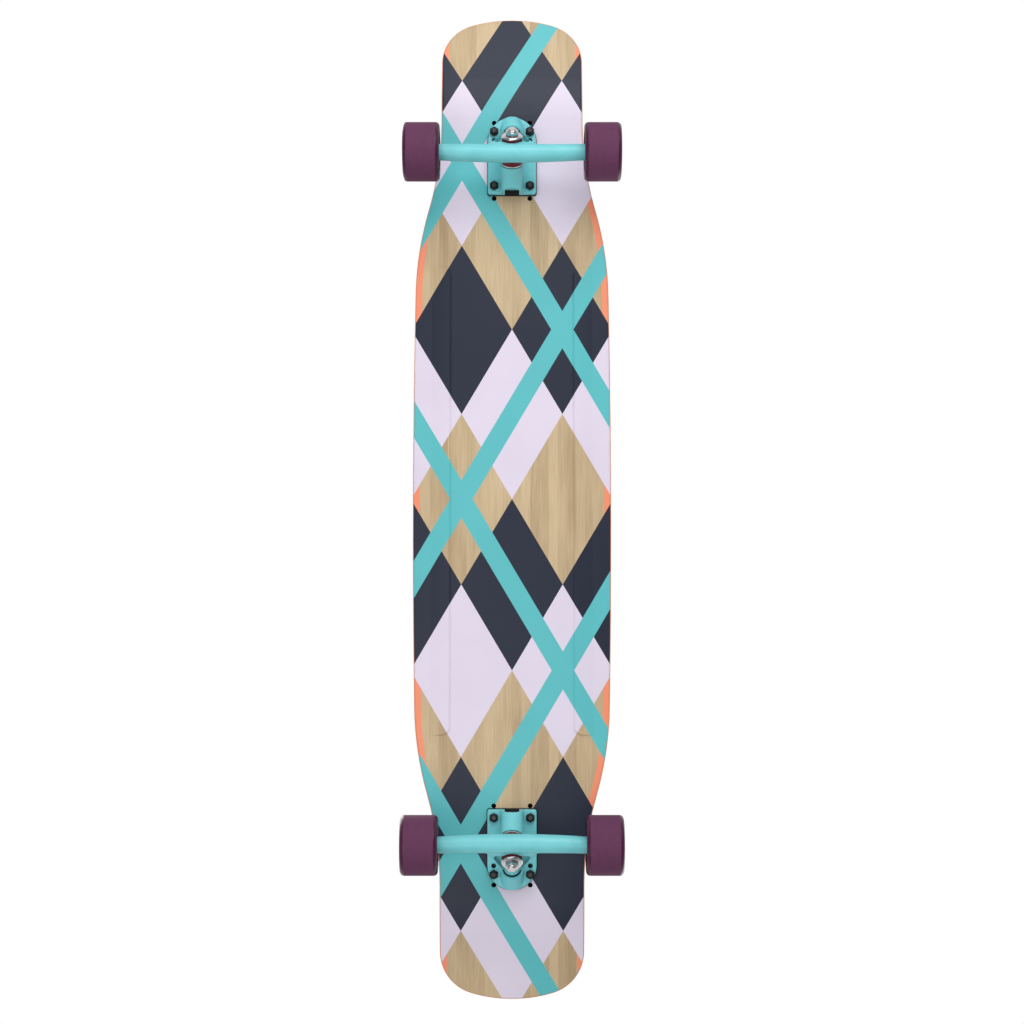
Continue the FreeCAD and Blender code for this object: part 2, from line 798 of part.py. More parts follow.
def build_baseplate(end):
    """A flat plate with a slanted kingpin boss, a pocket for the kingpin's head and a pivot boss."""
    body = new_body(end + "_baseplate")
    plate_top = -size("riser_thickness")
    boss = half("boss_diameter")
    inboard = size("plate_inboard")
    spare = size("overrun")
    plan = new_sketch(body, "XY_Plane", "plan", (0, 0, plate_top))
    plate_outline(plan, ZERO)
    pad(body, plan, "plate", size("plate_thickness"), reverse=True)
    # Kingpin boss: a barrel about the kingpin, filled in up to the plate.
    seat = along_kingpin(-SEAT_PLACE)
    barrel = new_sketch(body, "XY_Plane", "barrel", (seat[0], 0, seat[1]), KINGPIN_TURN)
    circle(barrel, (0, 0), boss)
    pad(body, barrel, "barrel_pad", size("plate_inboard") + size("boss_wall"), reverse=True)
    web = new_sketch(body, "XZ_Plane", "web")
    inside = plate_top - half("plate_thickness")
    far = along_kingpin(-SEAT_PLACE - size("plate_inboard"))
    web_reach = (inside - seat[1]) / LEAN_COS
    outline(web, [seat, from_ring(seat, web_reach), (far[0], inside), far])
    pad(body, web, "web_pad", size("boss_diameter"), both=True)
    # Pivot boss: a barrel about the pivot axis, cut off along the plate's round end.
    mouth = from_ring(along_kingpin(0), size("pivot_mouth"))
    socket = new_sketch(body, "XY_Plane", "socket", (mouth[0], 0, mouth[1]), PIVOT_TURN)
    circle(socket, (0, 0), boss)
    pad(body, socket, "socket_pad", size("plate_outboard"))
    back = new_sketch(body, "XY_Plane", "back")
    bend = half("plate_width")
    bend_x = size("plate_outboard") - bend
    outline(back, [
        (bend_x, -bend, (size("plate_outboard"), 0)),
        (bend_x, bend),
        (bend_x, spare),
        (inboard + spare, spare),
        (inboard + spare, -spare),
        (bend_x, -spare),
    ])
    pocket(body, back, "back_cut")
    # Both barrels end at the plate's upper face, and the inboard end leans.
    trim = new_sketch(body, "XZ_Plane", "trim")
    outline(trim, [
        (-inboard, plate_top),
        (inboard + spare, plate_top),
        (inboard + spare, spare),
        (-inboard - spare, spare),
        (-inboard - spare, -spare),
        (size("end_slant") - inboard, -spare),
    ])
    pocket(body, trim, "trim_cut")
    round_edges(body, "cast_round", size("cast_round"), is_cast_edge)
    # Kingpin hole, head pocket, pivot cup bore and bolt holes.
    hole = new_sketch(body, "XY_Plane", "kingpin_hole", (seat[0], 0, seat[1]), KINGPIN_TURN)
    circle(hole, (0, 0), half("kingpin_diameter"))
    pocket(body, hole, "kingpin_cut")
    head = along_kingpin(-HEAD_PLACE)
    slot = new_sketch(body, "XY_Plane", "head_pocket", (head[0], 0, head[1]), KINGPIN_TURN)
    wide = half("head_pocket_width")
    rise = size("head_pocket_rise")
    drop = size("head_pocket_drop")
    corner = size("head_pocket_corner")
    ease = corner * EASE_SHARE
    outline(slot, [
        (drop - corner, -wide, (drop - ease, ease - wide)),
        (drop, corner - wide),
        (drop, wide - corner, (drop - ease, wide - ease)),
        (drop - corner, wide),
        (-rise, wide),
        (-rise, -wide),
    ])
    pocket(body, slot, "head_cut", size("plate_inboard"))
    cup = new_sketch(body, "XY_Plane", "cup_bore", (mouth[0], 0, mouth[1]), PIVOT_TURN)
    circle(cup, (0, 0), CUP_RADIUS)
    pocket(body, cup, "cup_cut", CUP_DEPTH, reverse=True)
    plate_holes(body)
    return place(body, *truck_placement(end))


# Kingpin stack, each piece turned about the kingpin with Z towards the road

def build_kingpin(end):
    body = new_body(end + "_kingpin")
    head = new_sketch(body, "XY_Plane", "head", (0, 0, -HEAD_PLACE))
    hexagon(head, (ZERO, ZERO), size("kingpin_head_flats"))
    pad(body, head, "head_pad", size("kingpin_head_height"), reverse=True)
    shank = new_sketch(body, "XY_Plane", "shank", (0, 0, -HEAD_PLACE))
    circle(shank, (0, 0), half("kingpin_diameter"))
    pad(body, shank, "shank_pad", size("kingpin_length"))
    return place_on_kingpin(body, end)


def build_kingpin_nut(end):
    body = new_body(end + "_kingpin_nut")
    seat = ROAD_WASHER_PLACE + size("washer_sheet")
    hexagons = new_sketch(body, "XY_Plane", "hexagon", (0, 0, seat))
    hexagon(hexagons, (ZERO, ZERO), size("kingpin_head_flats"))
    pad(body, hexagons, "hexagon_pad", size("kingpin_nut_height"))
    collar = new_sketch(body, "XY_Plane", "collar", (0, 0, seat + size("kingpin_nut_height")))
    circle(collar, (0, 0), size("kingpin_head_flats") * COLLAR_SHARE * HALF_SHARE)
    pad(body, collar, "collar_pad", size("kingpin_nut_collar"))
    bore = new_sketch(body, "XY_Plane", "bore", (0, 0, seat))
    circle(bore, (0, 0), half("kingpin_diameter"))
    pocket(body, bore, "bore_cut")
    return place_on_kingpin(body, end)


def washer_profile(seat, way):
    """A pressed cup: a flat sheet on its seat with a lip standing the given way round the bushing."""
    bore = half("kingpin_diameter")
    rim = half("washer_diameter")
    inner_rim = rim - size("washer_wall")
    floor = seat + size("washer_sheet") * way
    lip = floor + size("washer_lip") * way
    return [(bore, seat), (rim - size("washer_sheet"), seat), (rim, floor), (rim, lip),
            (inner_rim, lip), (inner_rim, floor), (bore, floor)]


def build_cup_washers(end):
    body = turned_piece(
        end + "_cup_washers",
        washer_profile(-SEAT_PLACE, 1),
        washer_profile(ROAD_WASHER_PLACE + size("washer_sheet"), -1),
    )
    return place_on_kingpin(body, end)


def build_bushing(end, name, low, high):
    """A urethane barrel with a slight crown."""
    bore = half("kingpin_diameter")
    rim = half("bushing_diameter")
    middle = (low + high) * HALF_SHARE
    body = turned_piece(end + name, [
        (bore, low),
        (rim, low, (rim + size("bushing_crown"), middle)),
        (rim, high),
        (bore, high),
    ])
    return place_on_kingpin(body, end)


def build_pivot_cup(end):
    """A urethane cup lining the pivot boss round the hanger's nose."""
    depth = size("nose_length") + size("free_gap")
    body = turned_piece(end + "_pivot_cup", [
        (CUP_BORE, 0), (CUP_RADIUS, 0), (CUP_RADIUS, CUP_DEPTH),
        (0, CUP_DEPTH), (0, depth), (CUP_BORE, depth),
    ])
    base, turn = truck_placement(end)
    reach, height = from_ring(along_kingpin(0), size("pivot_mouth"))
    return place(body, (base[0] + reach * sign_of(end), 0, base[2] + height), turn * PIVOT_TURN)


# Hanger, in a frame with Z along the kingpin and X away from the pivot

def slot_section(body, name, place_x, half_width, half_thick, rise):
    """A round-ended section across the tongue."""
    sketch = new_sketch(body, "YZ_Plane", name, (0, 0, place_x))
    flat = half_width - half_thick
    outline(sketch, [
        (-flat, rise - half_thick),
        (flat, rise - half_thick, (half_width, rise)),
        (flat, rise + half_thick),
        (-flat, rise + half_thick, (-half_width, rise)),
    ])
    return sketch


def build_beam(body, drop, reach):
    """A spindle lofted through circles: thick in the middle, and bowed there away from the pivot."""
    thin = half("beam_end_diameter")
    swell = half("beam_mid_diameter") - thin
    rings = []
    for name, along_share in BEAM_RING_SHARES.items():
        full_share = 1 - along_share * along_share
        ring = new_sketch(body, "XZ_Plane", "ring_" + name, (0, 0, half("hanger_width") * along_share))
        circle(ring, (drop + size("beam_bow") * full_share, reach), thin + swell * full_share)
        rings.append(ring)
    beam = feature(body, "AdditiveLoft", rings[0], "beam")
    beam.Sections = rings[1:]


def is_tongue_root(edge):
    """Picks the edges where the tongue leaves the beam."""
    box = edge.BoundBox
    flare = half("tongue_flare").value
    return box.XMin > 0 and -flare < box.YMin and box.YMax < flare


def is_recess_post(edge):
    """Picks the straight edges that stand at the corners of the hanger's hollow."""
    return isinstance(edge.Curve, Part.Line) and edge.BoundBox.ZLength > RING_HALF.value


def build_hanger(end):
    """A spindle beam with a tongue that narrows to the pivot nose, hollowed round the bushings."""
    body = new_body(end + "_hanger")
    drop = size("beam_drop")
    reach = size("beam_reach")
    thick = half("tongue_thickness")
    rise = size("tongue_middle_rise")
    nose_width = NOSE_RADIUS + size("nose_shoulder")
    nose_start = size("tongue_tip_place")
    nose_end = size("pivot_mouth") + size("nose_length")
    shoulder = size("pivot_mouth") - size("free_gap") - size("nose_shoulder")
    build_beam(body, drop, reach)
    root_section = slot_section(body, "root", drop, half("tongue_flare"), thick, reach)
    waist = slot_section(body, "waist", size("tongue_waist_place"), half("tongue_width"), thick, rise)
    knee = slot_section(body, "knee", -size("tongue_knee_place"), half("tongue_knee_width"), thick, rise)
    tip = slot_section(body, "tip", -nose_start, nose_width + size("free_gap"), nose_width, ZERO)
    tongue = feature(body, "AdditiveLoft", root_section, "tongue")
    tongue.Sections = [waist, knee, tip]
    round_edges(body, "root_round", size("tongue_root_round"), is_tongue_root)
    # Pivot nose, turned about the pivot axis.
    nose = new_sketch(body, "XY_Plane", "nose")
    corner = NOSE_RADIUS * NOSE_ROUND_SHARE
    ease = corner * EASE_SHARE
    outline(nose, [
        (-nose_start, 0),
        (-nose_end, 0),
        (-nose_end, NOSE_RADIUS - corner, (ease - nose_end, NOSE_RADIUS - ease)),
        (corner - nose_end, NOSE_RADIUS),
        (-shoulder - size("nose_shoulder"), NOSE_RADIUS),
        (-shoulder, nose_width),
        (-nose_start, nose_width),
    ])
    revolve(body, nose, "nose_turn", axis="H_Axis")
    # Hollow on the road side, bushing seats, kingpin bore and axle bore.
    hollow = new_sketch(body, "XY_Plane", "hollow", (0, 0, RING_HALF))
    base_x = size("recess_base")
    wide = half("recess_width")
    knee_x = -size("recess_knee_place")
    knee_y = half("recess_knee_width")
    outline(hollow, [
        (base_x, -wide),
        (base_x, wide),
        (0, wide),
        (knee_x, knee_y, (-size("recess_apex"), 0)),
        (knee_x, -knee_y),
        (0, -wide),
    ])
    pocket(body, hollow, "hollow_cut", size("overrun"), reverse=True)
    round_edges(body, "hollow_round", size("recess_corner"), is_recess_post)
    seat_radius = half("bushing_diameter") + size("bushing_crown") + size("seat_gap")
    road_seat = new_sketch(body, "XY_Plane", "road_seat", (0, 0, RING_HALF))
    circle(road_seat, (0, 0), seat_radius)
    pocket(body, road_seat, "road_seat_cut", size("overrun"), reverse=True)
    board_seat = new_sketch(body, "XY_Plane", "board_seat", (0, 0, -RING_HALF))
    circle(board_seat, (0, 0), seat_radius)
    pocket(body, board_seat, "board_seat_cut", size("overrun"))
    bore = new_sketch(body, "XY_Plane", "bore")
    circle(bore, (0, 0), half("ring_bore"))
    pocket(body, bore, "bore_cut")
    axle = new_sketch(body, "XZ_Plane", "axle_bore")
    circle(axle, (drop, reach), AXLE_RADIUS)
    pocket(body, axle, "axle_cut")
    return place_on_kingpin(body, end)


# Axle and what turns on it, each piece turned about the axle

def build_axle(end):
    reach = AXLE_REACH
    chamfer = size("axle_chamfer")
    body = turned_piece(end + "_axle", [
        (0, -reach), (AXLE_RADIUS - chamfer, -reach), (AXLE_RADIUS, chamfer - reach),
        (AXLE_RADIUS, reach - chamfer), (AXLE_RADIUS - chamfer, reach), (0, reach),
    ])
    return place_on_axle(body, end)


def both_sides(inner, outer, low, high):
    """A ring on each end of the axle."""
    return [tube(inner, outer, low, high), tube(inner, outer, -high, -low)]


def build_speed_rings(end):
    """Thin washers on both sides of each wheel's bearings."""
    sheet_size = size("speed_ring_thickness")
    rings = both_sides(AXLE_RADIUS, half("speed_ring_diameter"), BEARING_START - sheet_size, BEARING_START)
    rings += both_sides(AXLE_RADIUS, half("speed_ring_diameter"), BEARING_END, BEARING_END + sheet_size)
    return place_on_axle(turned_piece(end + "_speed_rings", *rings), end)


def build_axle_nuts(end):
    body = new_body(end + "_axle_nuts")
    step = NUT_SEAT + size("axle_nut_height")
    for side in SIDES:
        face = new_sketch(body, "XY_Plane", side + "_hexagon", (0, 0, NUT_SEAT * sign_of(side)))
        hexagon(face, (ZERO, ZERO), size("axle_nut_flats"))
        pad(body, face, side + "_hexagon_pad", size("axle_nut_height"), reverse=side == RIGHT)
        collar = new_sketch(body, "XY_Plane", side + "_collar", (0, 0, step * sign_of(side)))
        circle(collar, (0, 0), size("axle_nut_flats") * COLLAR_SHARE * HALF_SHARE)
        pad(body, collar, side + "_collar_pad", size("axle_nut_collar"), reverse=side == RIGHT)
    bore = new_sketch(body, "XY_Plane", "bore")
    circle(bore, (0, 0), AXLE_RADIUS)
    pocket(body, bore, "bore_cut")
    return place_on_axle(body, end)


def build_bearing_spacers(end):
    low = BEARING_START + size("bearing_width")
    rings = both_sides(AXLE_RADIUS, half("spacer_diameter"), low, low + size("bearing_gap"))
    return place_on_axle(turned_piece(end + "_bearing_spacers", *rings), end)


def cut_races(body, centres):
    """Ball grooves turned into bearing rings at the given places along the axis."""
    sketch = new_sketch(body, "XZ_Plane", "races")
    for centre in centres:
        circle(sketch, (half("ball_pitch"), centre), half("ball_diameter") + size("running_fit"))
    revolve(body, sketch, "race_cut", kind="Groove")


def build_inner_rings(end):
    """The inner rings of all four bearings on one axle, clamped by the nuts."""
    wide = size("bearing_width")
    rings = []
    centres = []
    for low in (BEARING_START, BEARING_END - wide):
        rings += both_sides(AXLE_RADIUS, half("inner_land"), low, low + wide)
        centres += [low + wide * HALF_SHARE, -low - wide * HALF_SHARE]
    body = turned_piece(end + "_bearing_inner_rings", *rings)
    cut_races(body, centres)
    return place_on_axle(body, end)


# Wheel, turned about its own axis with Z outwards

def wheel_label(end, side, name):
    return "%s_%s_%s" % (end, side, name)


def build_tyre(end, side):
    """Cast urethane with a flat tread, rounded lips and a dish on each face."""
    rim = WHEEL_RADIUS
    face = half("wheel_width")
    lip = size("tyre_lip")
    ease = lip * EASE_SHARE
    dish = half("dish_diameter")
    core = half("core_diameter")
    core_face = half("core_width")
    body = turned_piece(wheel_label(end, side, "tyre"), [
        (core, -core_face),
        (dish - size("tyre_dish"), size("tyre_dish") - face),
        (dish, -face),
        (rim - lip, -face, (rim - ease, ease - face)),
        (rim, lip - face),
        (rim, face - lip, (rim - ease, face - ease)),
        (rim - lip, face),
        (dish, face),
        (dish - size("tyre_dish"), face - size("tyre_dish")),
        (core, core_face),
    ])
    return place_in_wheel(body, end, side)


def build_core(end, side):
    """A stiff core inside the tyre with a seat for each bearing."""
    seat = half("bearing_diameter")
    core = half("core_diameter")
    face = half("core_width")
    land = half("core_land")
    shelf = half("bearing_gap")
    body = turned_piece(wheel_label(end, side, "core"), [
        (seat, -face), (core, -face), (core, face), (seat, face),
        (seat, shelf), (land, shelf), (land, -shelf), (seat, -shelf),
    ])
    return place_in_wheel(body, end, side)


def build_outer_rings(end, side):
    wide = half("bearing_width")
    rings = [tube(half("outer_land"), half("bearing_diameter"), centre - wide, centre + wide)
             for centre in (BEARING_CENTRE, -BEARING_CENTRE)]
    body = turned_piece(wheel_label(end, side, "bearing_outer_rings"), *rings)
    cut_races(body, (BEARING_CENTRE, -BEARING_CENTRE))
    return place_in_wheel(body, end, side)


def build_shields(end, side):
    """Thin covers pressed into both faces of each bearing."""
    inner = half("inner_land") + size("free_gap")
    outer = half("outer_land")
    rings = []
    for centre in (BEARING_CENTRE, -BEARING_CENTRE):
        for way in (1, -1):
            face = half("bearing_width") - size("shield_inset")
            back = face - size("shield_sheet")
            rings.append(tube(inner, outer, centre + face * way, centre + back * way))
    return place_in_wheel(turned_piece(wheel_label(end, side, "bearing_shields"), *rings), end, side)


def ball_ring(body, kind, radius, name):
    """Balls, or the hollows for them, set evenly round both bearings."""
    rows = []
    for row, centre in (("outer", BEARING_CENTRE), ("inner", -BEARING_CENTRE)):
        ball = body.newObject("PartDesign::" + kind, "%s_%s_%s" % (body.Label, name, row))
        ball.AttachmentSupport = [(origin_part(body, "XY_Plane"), "")]
        ball.MapMode = "FlatFace"
        base = (half("ball_pitch"), 0, centre)
        ball.AttachmentOffset = FreeCAD.Placement(vector(base), FreeCAD.Rotation())
        bind_base(ball, "AttachmentOffset", base)
        bind(ball, "Radius", radius)
        rows.append(ball)
    doc.recompute()
    ring = body.newObject("PartDesign::PolarPattern", "%s_%s_ring" % (body.Label, name))
    ring.Originals = rows
    ring.Axis = (origin_part(body, "Z_Axis"), [""])
    ring.Angle = FULL_ANGLE
    ring.Occurrences = BALL_COUNT
    body.Tip = ring


def build_balls(end, side):
    body = new_body(wheel_label(end, side, "bearing_balls"))
    ball_ring(body, "AdditiveSphere", half("ball_diameter"), "ball")
    return place_in_wheel(body, end, side)


def build_cages(end, side):
    """Crown cages: a thin ring on one side of the balls with a hollow for each ball."""
    pitch = half("ball_pitch")
    wall = half("cage_wall")
    pocket_radius = half("ball_diameter") + size("running_fit")
    rings = [tube(pitch - wall, pitch + wall, centre - pocket_radius - size("cage_web"), centre)
             for centre in (BEARING_CENTRE, -BEARING_CENTRE)]
    body = turned_piece(wheel_label(end, side, "bearing_cages"), *rings)
    ball_ring(body, "SubtractiveSphere", pocket_radius, "pocket")
    return place_in_wheel(body, end, side)


def build_truck(end):
    roadside = (RING_HALF, ROAD_WASHER_PLACE)
    boardside = (-RING_HALF - size("boardside_bushing"), -RING_HALF)
    return [
        build_riser_pad(end), build_baseplate(end), build_pivot_cup(end), build_kingpin(end),
        build_kingpin_nut(end), build_cup_washers(end),
        build_bushing(end, "_boardside_bushing", *boardside),
        build_bushing(end, "_roadside_bushing", *roadside),
        build_hanger(end), build_axle(end), build_axle_nuts(end), build_speed_rings(end),
        build_bearing_spacers(end), build_inner_rings(end),
    ]


def build_wheel(end, side):
    return [
        build_tyre(end, side), build_core(end, side), build_outer_rings(end, side),
        build_shields(end, side), build_balls(end, side), build_cages(end, side),
    ]


pieces = [build_deck(), build_grip_tape(), build_mount_bolts(), build_mount_nuts()]
for end in ENDS:
    pieces += build_truck(end)
    for side in SIDES:
        pieces += build_wheel(end, side)
doc.recompute()

for item in doc.Objects:
    if "Invalid" in item.State or "Error" in item.State:
        raise RuntimeError("%s failed: %s" % (item.Label, item.State))
    if item.TypeId in ("PartDesign::Pocket", "PartDesign::Groove"):
        if not item.Shape.Volume < item.BaseFeature.Shape.Volume:
            raise RuntimeError("%s cuts nothing" % item.Label)
for piece in pieces:
    if piece.Shape.isNull() or not piece.Shape.isValid():
        raise RuntimeError("%s has no valid shape" % piece.Label)

os.makedirs("parts", exist_ok=True)
for piece in pieces:
    piece.Shape.exportStep("parts/%s.step" % piece.Label)
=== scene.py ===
import json
import math

import bmesh
import bpy
import numpy as np
from bpy.props import FloatProperty, FloatVectorProperty, PointerProperty
from mathutils import Matrix, Vector


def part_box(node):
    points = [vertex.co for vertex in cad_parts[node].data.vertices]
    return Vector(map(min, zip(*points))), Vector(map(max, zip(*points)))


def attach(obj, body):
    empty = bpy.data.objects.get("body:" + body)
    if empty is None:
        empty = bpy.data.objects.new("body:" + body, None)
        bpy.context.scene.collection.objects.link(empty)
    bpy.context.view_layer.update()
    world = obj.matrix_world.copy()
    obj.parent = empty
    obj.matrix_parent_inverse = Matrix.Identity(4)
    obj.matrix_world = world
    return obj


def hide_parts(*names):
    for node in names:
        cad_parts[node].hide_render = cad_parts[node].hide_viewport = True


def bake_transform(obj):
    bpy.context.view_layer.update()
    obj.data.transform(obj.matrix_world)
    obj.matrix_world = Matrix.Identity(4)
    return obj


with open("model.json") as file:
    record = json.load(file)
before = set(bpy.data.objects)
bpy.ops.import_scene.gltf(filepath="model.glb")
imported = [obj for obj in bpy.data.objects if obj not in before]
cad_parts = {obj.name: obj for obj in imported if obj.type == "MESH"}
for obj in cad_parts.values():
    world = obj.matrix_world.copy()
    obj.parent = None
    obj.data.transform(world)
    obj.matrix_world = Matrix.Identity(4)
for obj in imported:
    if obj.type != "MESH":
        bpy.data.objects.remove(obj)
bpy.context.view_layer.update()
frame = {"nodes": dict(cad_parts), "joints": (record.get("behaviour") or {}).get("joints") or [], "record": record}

bl_info = {
    "name": "Longboard finish",
    "version": (1, 0, 0),
    "blender": (4, 5, 0),
    "location": "View3D > Sidebar > Longboard",
    "description": "Finishes, threads and bushings for a longboard skateboard, with its stage",
    "category": "Object",
}

ENDS = ("front", "rear")
SIDES = ("left", "right")
WHEELS = tuple("%s_%s" % (end, side) for end in ENDS for side in SIDES)
JOINTS = {joint["name"]: joint for joint in frame["joints"]}
MOUNTS = frame["record"]["mounts"]
LEFT = np.array((0, 1, 0))
UP = np.array((0, 0, 1))
MM = 0.001


# Places read from the frame

def node_points(name):
    """All vertices of a CAD node as rows of x, y, z."""
    mesh = frame["nodes"][name].data
    flat = np.empty(len(mesh.vertices) * 3)
    mesh.vertices.foreach_get("co", flat)
    return flat.reshape(-1, 3)


def ring_centre(end):
    return np.array(JOINTS[end + "_hanger_lean"]["pos_m"])


def kingpin_way(end):
    """The kingpin's direction towards the road: the lean axis turned a quarter turn in the side view."""
    x, _, z = JOINTS[end + "_hanger_lean"]["axis"]
    return math.copysign(1, x) * np.array((z, 0, -x))


def wheel_centre(wheel):
    return np.array(JOINTS[wheel + "_wheel_spin"]["pos_m"])


def truck_centre(end):
    """The middle of a truck's bolts, midway between the two lines of spare holes."""
    places = [mount["pos_m"] for mount in MOUNTS if mount["name"].startswith(end)]
    return np.mean(places, axis=0)


def reach_along(name, origin, way):
    """How a node lies about an axis through a point: its lowest and highest place along the axis, and
    its least and greatest radius."""
    offset = node_points(name) - origin
    height = offset @ way
    radius = np.linalg.norm(offset - np.outer(height, way), axis=1)
    return height.min(), height.max(), radius.min(), radius.max()


AXLE_PLACE = wheel_centre("front_left")
TYRE_LOW, TYRE_HIGH = (np.array(corner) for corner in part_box("front_left_tyre"))
WHEEL_RADIUS = (TYRE_HIGH[2] - TYRE_LOW[2]) / 2
WHEEL_HALF_WIDTH = (TYRE_HIGH[1] - TYRE_LOW[1]) / 2
RISER_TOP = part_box("front_riser_pad")[1].z
SPARE_HOLES = next(mount["dims"] for mount in MOUNTS if mount["kind"] == "bolt_pattern")
HOLE_LINE = SPARE_HOLES["spacing_y_mm"] / 2 * MM
HOLE_RADIUS = SPARE_HOLES["hole_r_mm"] * MM


# Settings

def colour(name, description, value):
    return FloatVectorProperty(
        name=name, description=description, default=value, subtype="COLOR", min=0, max=1, size=3)


def length(name, description, value):
    return FloatProperty(
        name=name, description=description, default=value, min=0, subtype="DISTANCE", unit="LENGTH")


def share(name, description, value):
    return FloatProperty(
        name=name, description=description, default=value, min=0, max=1, subtype="FACTOR")


class LONGBOARD_PG_deck(bpy.types.PropertyGroup):
    """Print, veneer and grip tape."""

    wood_light: colour("Light wood", "Pale strips of the bottom veneer", (0.69, 0.53, 0.325))
    wood_dark: colour("Dark wood", "Dark streaks of the bottom veneer", (0.37, 0.25, 0.13))
    coral: colour("Coral", "Edge stripes and side of the deck", (0.95, 0.30, 0.165))
    lilac: colour("Lilac", "Pale diamonds of the print", (0.765, 0.69, 0.825))
    navy: colour("Navy", "Dark diamonds of the print", (0.018, 0.024, 0.046))
    teal: colour("Teal", "Crossing bands of the print", (0.11, 0.53, 0.56))
    grit: colour("Grit", "Grip tape", (0.016, 0.016, 0.017))
    diamond_length: length("Diamond length", "Length of one diamond along the deck", 0.196)
    diamond_width: length("Diamond width", "Width of one diamond across the deck", 0.116)
    band_width: length("Band width", "Width of a crossing band", 0.022)
    stripe_width: length("Stripe width", "Width of the coral stripe along each edge", 0.008)
    strip_width: length("Strip width", "Width of one strip of the bottom veneer", 0.0105)
    ply: length("Ply", "Thickness of one ply at the deck's side", 0.0013)
    grit_size: length("Grit size", "Size of the grip tape's grains", 0.0007)


class LONGBOARD_PG_truck(bpy.types.PropertyGroup):
    """Castings, fasteners and bushings."""

    paint: colour("Paint", "Satin paint on the castings", (0.19, 0.66, 0.70))
    paint_deep: colour("Deep paint", "The paint where it lies thicker", (0.15, 0.585, 0.63))
    steel: colour("Steel", "Bright plated steel", (0.66, 0.66, 0.67))
    black_nut: colour("Black nut", "Blackened mounting nuts", (0.006, 0.006, 0.007))
    black_bolt: colour("Black bolt", "Blackened mounting bolts", (0.055, 0.048, 0.048))
    rubber: colour("Rubber", "Riser pads and pivot cups", (0.012, 0.012, 0.013))
    bushing: colour("Bushing", "Urethane bushings", (0.10, 0.003, 0.009))
    peel: length("Peel", "Spacing of the paint's faint waves", 0.0016)
    bushing_round: length("Bushing round", "Rounding of the bushings' rims", 0.0011)


class LONGBOARD_PG_fastener(bpy.types.PropertyGroup):
    """Threads, heads, sockets and cup washers."""

    bolt_long: length("Bolts along", "Spacing of a truck's mounting bolts along the deck", 0.0635)
    bolt_wide: length("Bolts across", "Spacing of a truck's mounting bolts across the deck", 0.041275)
    bolt_width: length("Bolt width", "Outer diameter of a mounting bolt's thread", 0.0048)
    bolt_pitch: length("Bolt pitch", "Rise of one turn of a mounting bolt's thread", 0.00079)
    bolt_thread: length("Bolt thread", "Threaded length of a mounting bolt", 0.014)
    socket: length("Socket", "Width across the flats of a mounting bolt's socket", 0.0032)
    kingpin_pitch: length("Kingpin pitch", "Rise of one turn of a kingpin's or axle's thread", 0.00106)
    kingpin_thread: length("Kingpin thread", "Threaded length of a kingpin", 0.018)
    kingpin_head: length("Kingpin head", "Height of a kingpin's head", 0.0064)
    axle_thread: length("Axle thread", "Threaded length of each end of an axle", 0.0085)
    washer_sheet: length("Washer sheet", "Thickness of a cup washer's sheet", 0.0015)
    washer_height: length("Washer height", "Height of a cup washer over its lip", 0.0024)
    washer_wall: length("Washer wall", "Thickness of a cup washer's lip", 0.0009)


class LONGBOARD_PG_wheel(bpy.types.PropertyGroup):
    """Tyres, cores and bearings."""

    tread: colour("Tread", "Ground tread of the tyres", (0.105, 0.029, 0.076))
    lip: colour("Lip", "Glossy lips and faces of the tyres", (0.058, 0.006, 0.033))
    core: colour("Core", "Moulded cores", (0.55, 0.52, 0.56))
    bearing: colour("Bearing", "Bearing rings", (0.55, 0.55, 0.57))
    shield: colour("Shield", "Bearing shields", (0.03, 0.03, 0.032))
    cage: colour("Cage", "Ball cages", (0.35, 0.34, 0.31))
    lip_width: length("Lip width", "Width of the glossy band at each edge of the tread", 0.0042)
    groove: length("Groove", "Spacing of the grinding marks round the tread", 0.0009)


class LONGBOARD_PG_stage(bpy.types.PropertyGroup):
    """Floor, lamps and camera."""

    floor: colour("Floor", "Pale floor", (0.86, 0.86, 0.86))
    ambient: share("Ambient", "Level of the light from all round", 0.53)
    low_sky: share("Low sky", "Level that reflections show below the board", 0.15)
    focal_length: FloatProperty(
        name="Focal length", description="Focal length on a 36 mm sensor", default=75.375, unit="CAMERA")
    camera_distance: length("Camera distance", "Distance from the deck's underside to the lens", 2.4489)
    camera_setback: length("Camera setback", "How far the lens stands towards the tail", 0.2004)
    camera_tilt: FloatProperty(
        name="Camera tilt", description="Tilt of the view towards the nose",
        default=math.radians(4.33), subtype="ANGLE", unit="ROTATION")


# Material nodes

class Field:
    """A value that varies over a surface, with arithmetic that adds the nodes it needs."""

    def __init__(self, graph, socket):
        self.graph = graph
        self.socket = socket

    def __add__(self, other):
        return self.graph.math("ADD", self, other)

    def __sub__(self, other):
        return self.graph.math("SUBTRACT", self, other)

    def __mul__(self, other):
        return self.graph.math("MULTIPLY", self, other)

    def __truediv__(self, other):
        return self.graph.math("DIVIDE", self, other)

    def __neg__(self):
        return self * -1

    def __abs__(self):
        return self.graph.math("ABSOLUTE", self)

    def floor(self):
        return self.graph.math("FLOOR", self)

    def fraction(self):
        return self.graph.math("FRACT", self)

    def every(self, step):
        return self.graph.math("FLOORED_MODULO", self, step)

    def power(self, other):
        return self.graph.math("POWER", self, other)

    def root(self):
        return self.graph.math("SQRT", self)

    def at_most(self, other):
        return self.graph.math("MINIMUM", self, other)

    def at_least(self, other):
        return self.graph.math("MAXIMUM", self, other)

    def above(self, edge, blur):
        """0 below the edge, 1 above it, rising smoothly over the blur."""
        return self.graph.ramp(self, edge - blur / 2, edge + blur / 2)

    def below(self, edge, blur):
        return self.graph.ramp(self, edge + blur / 2, edge - blur / 2)


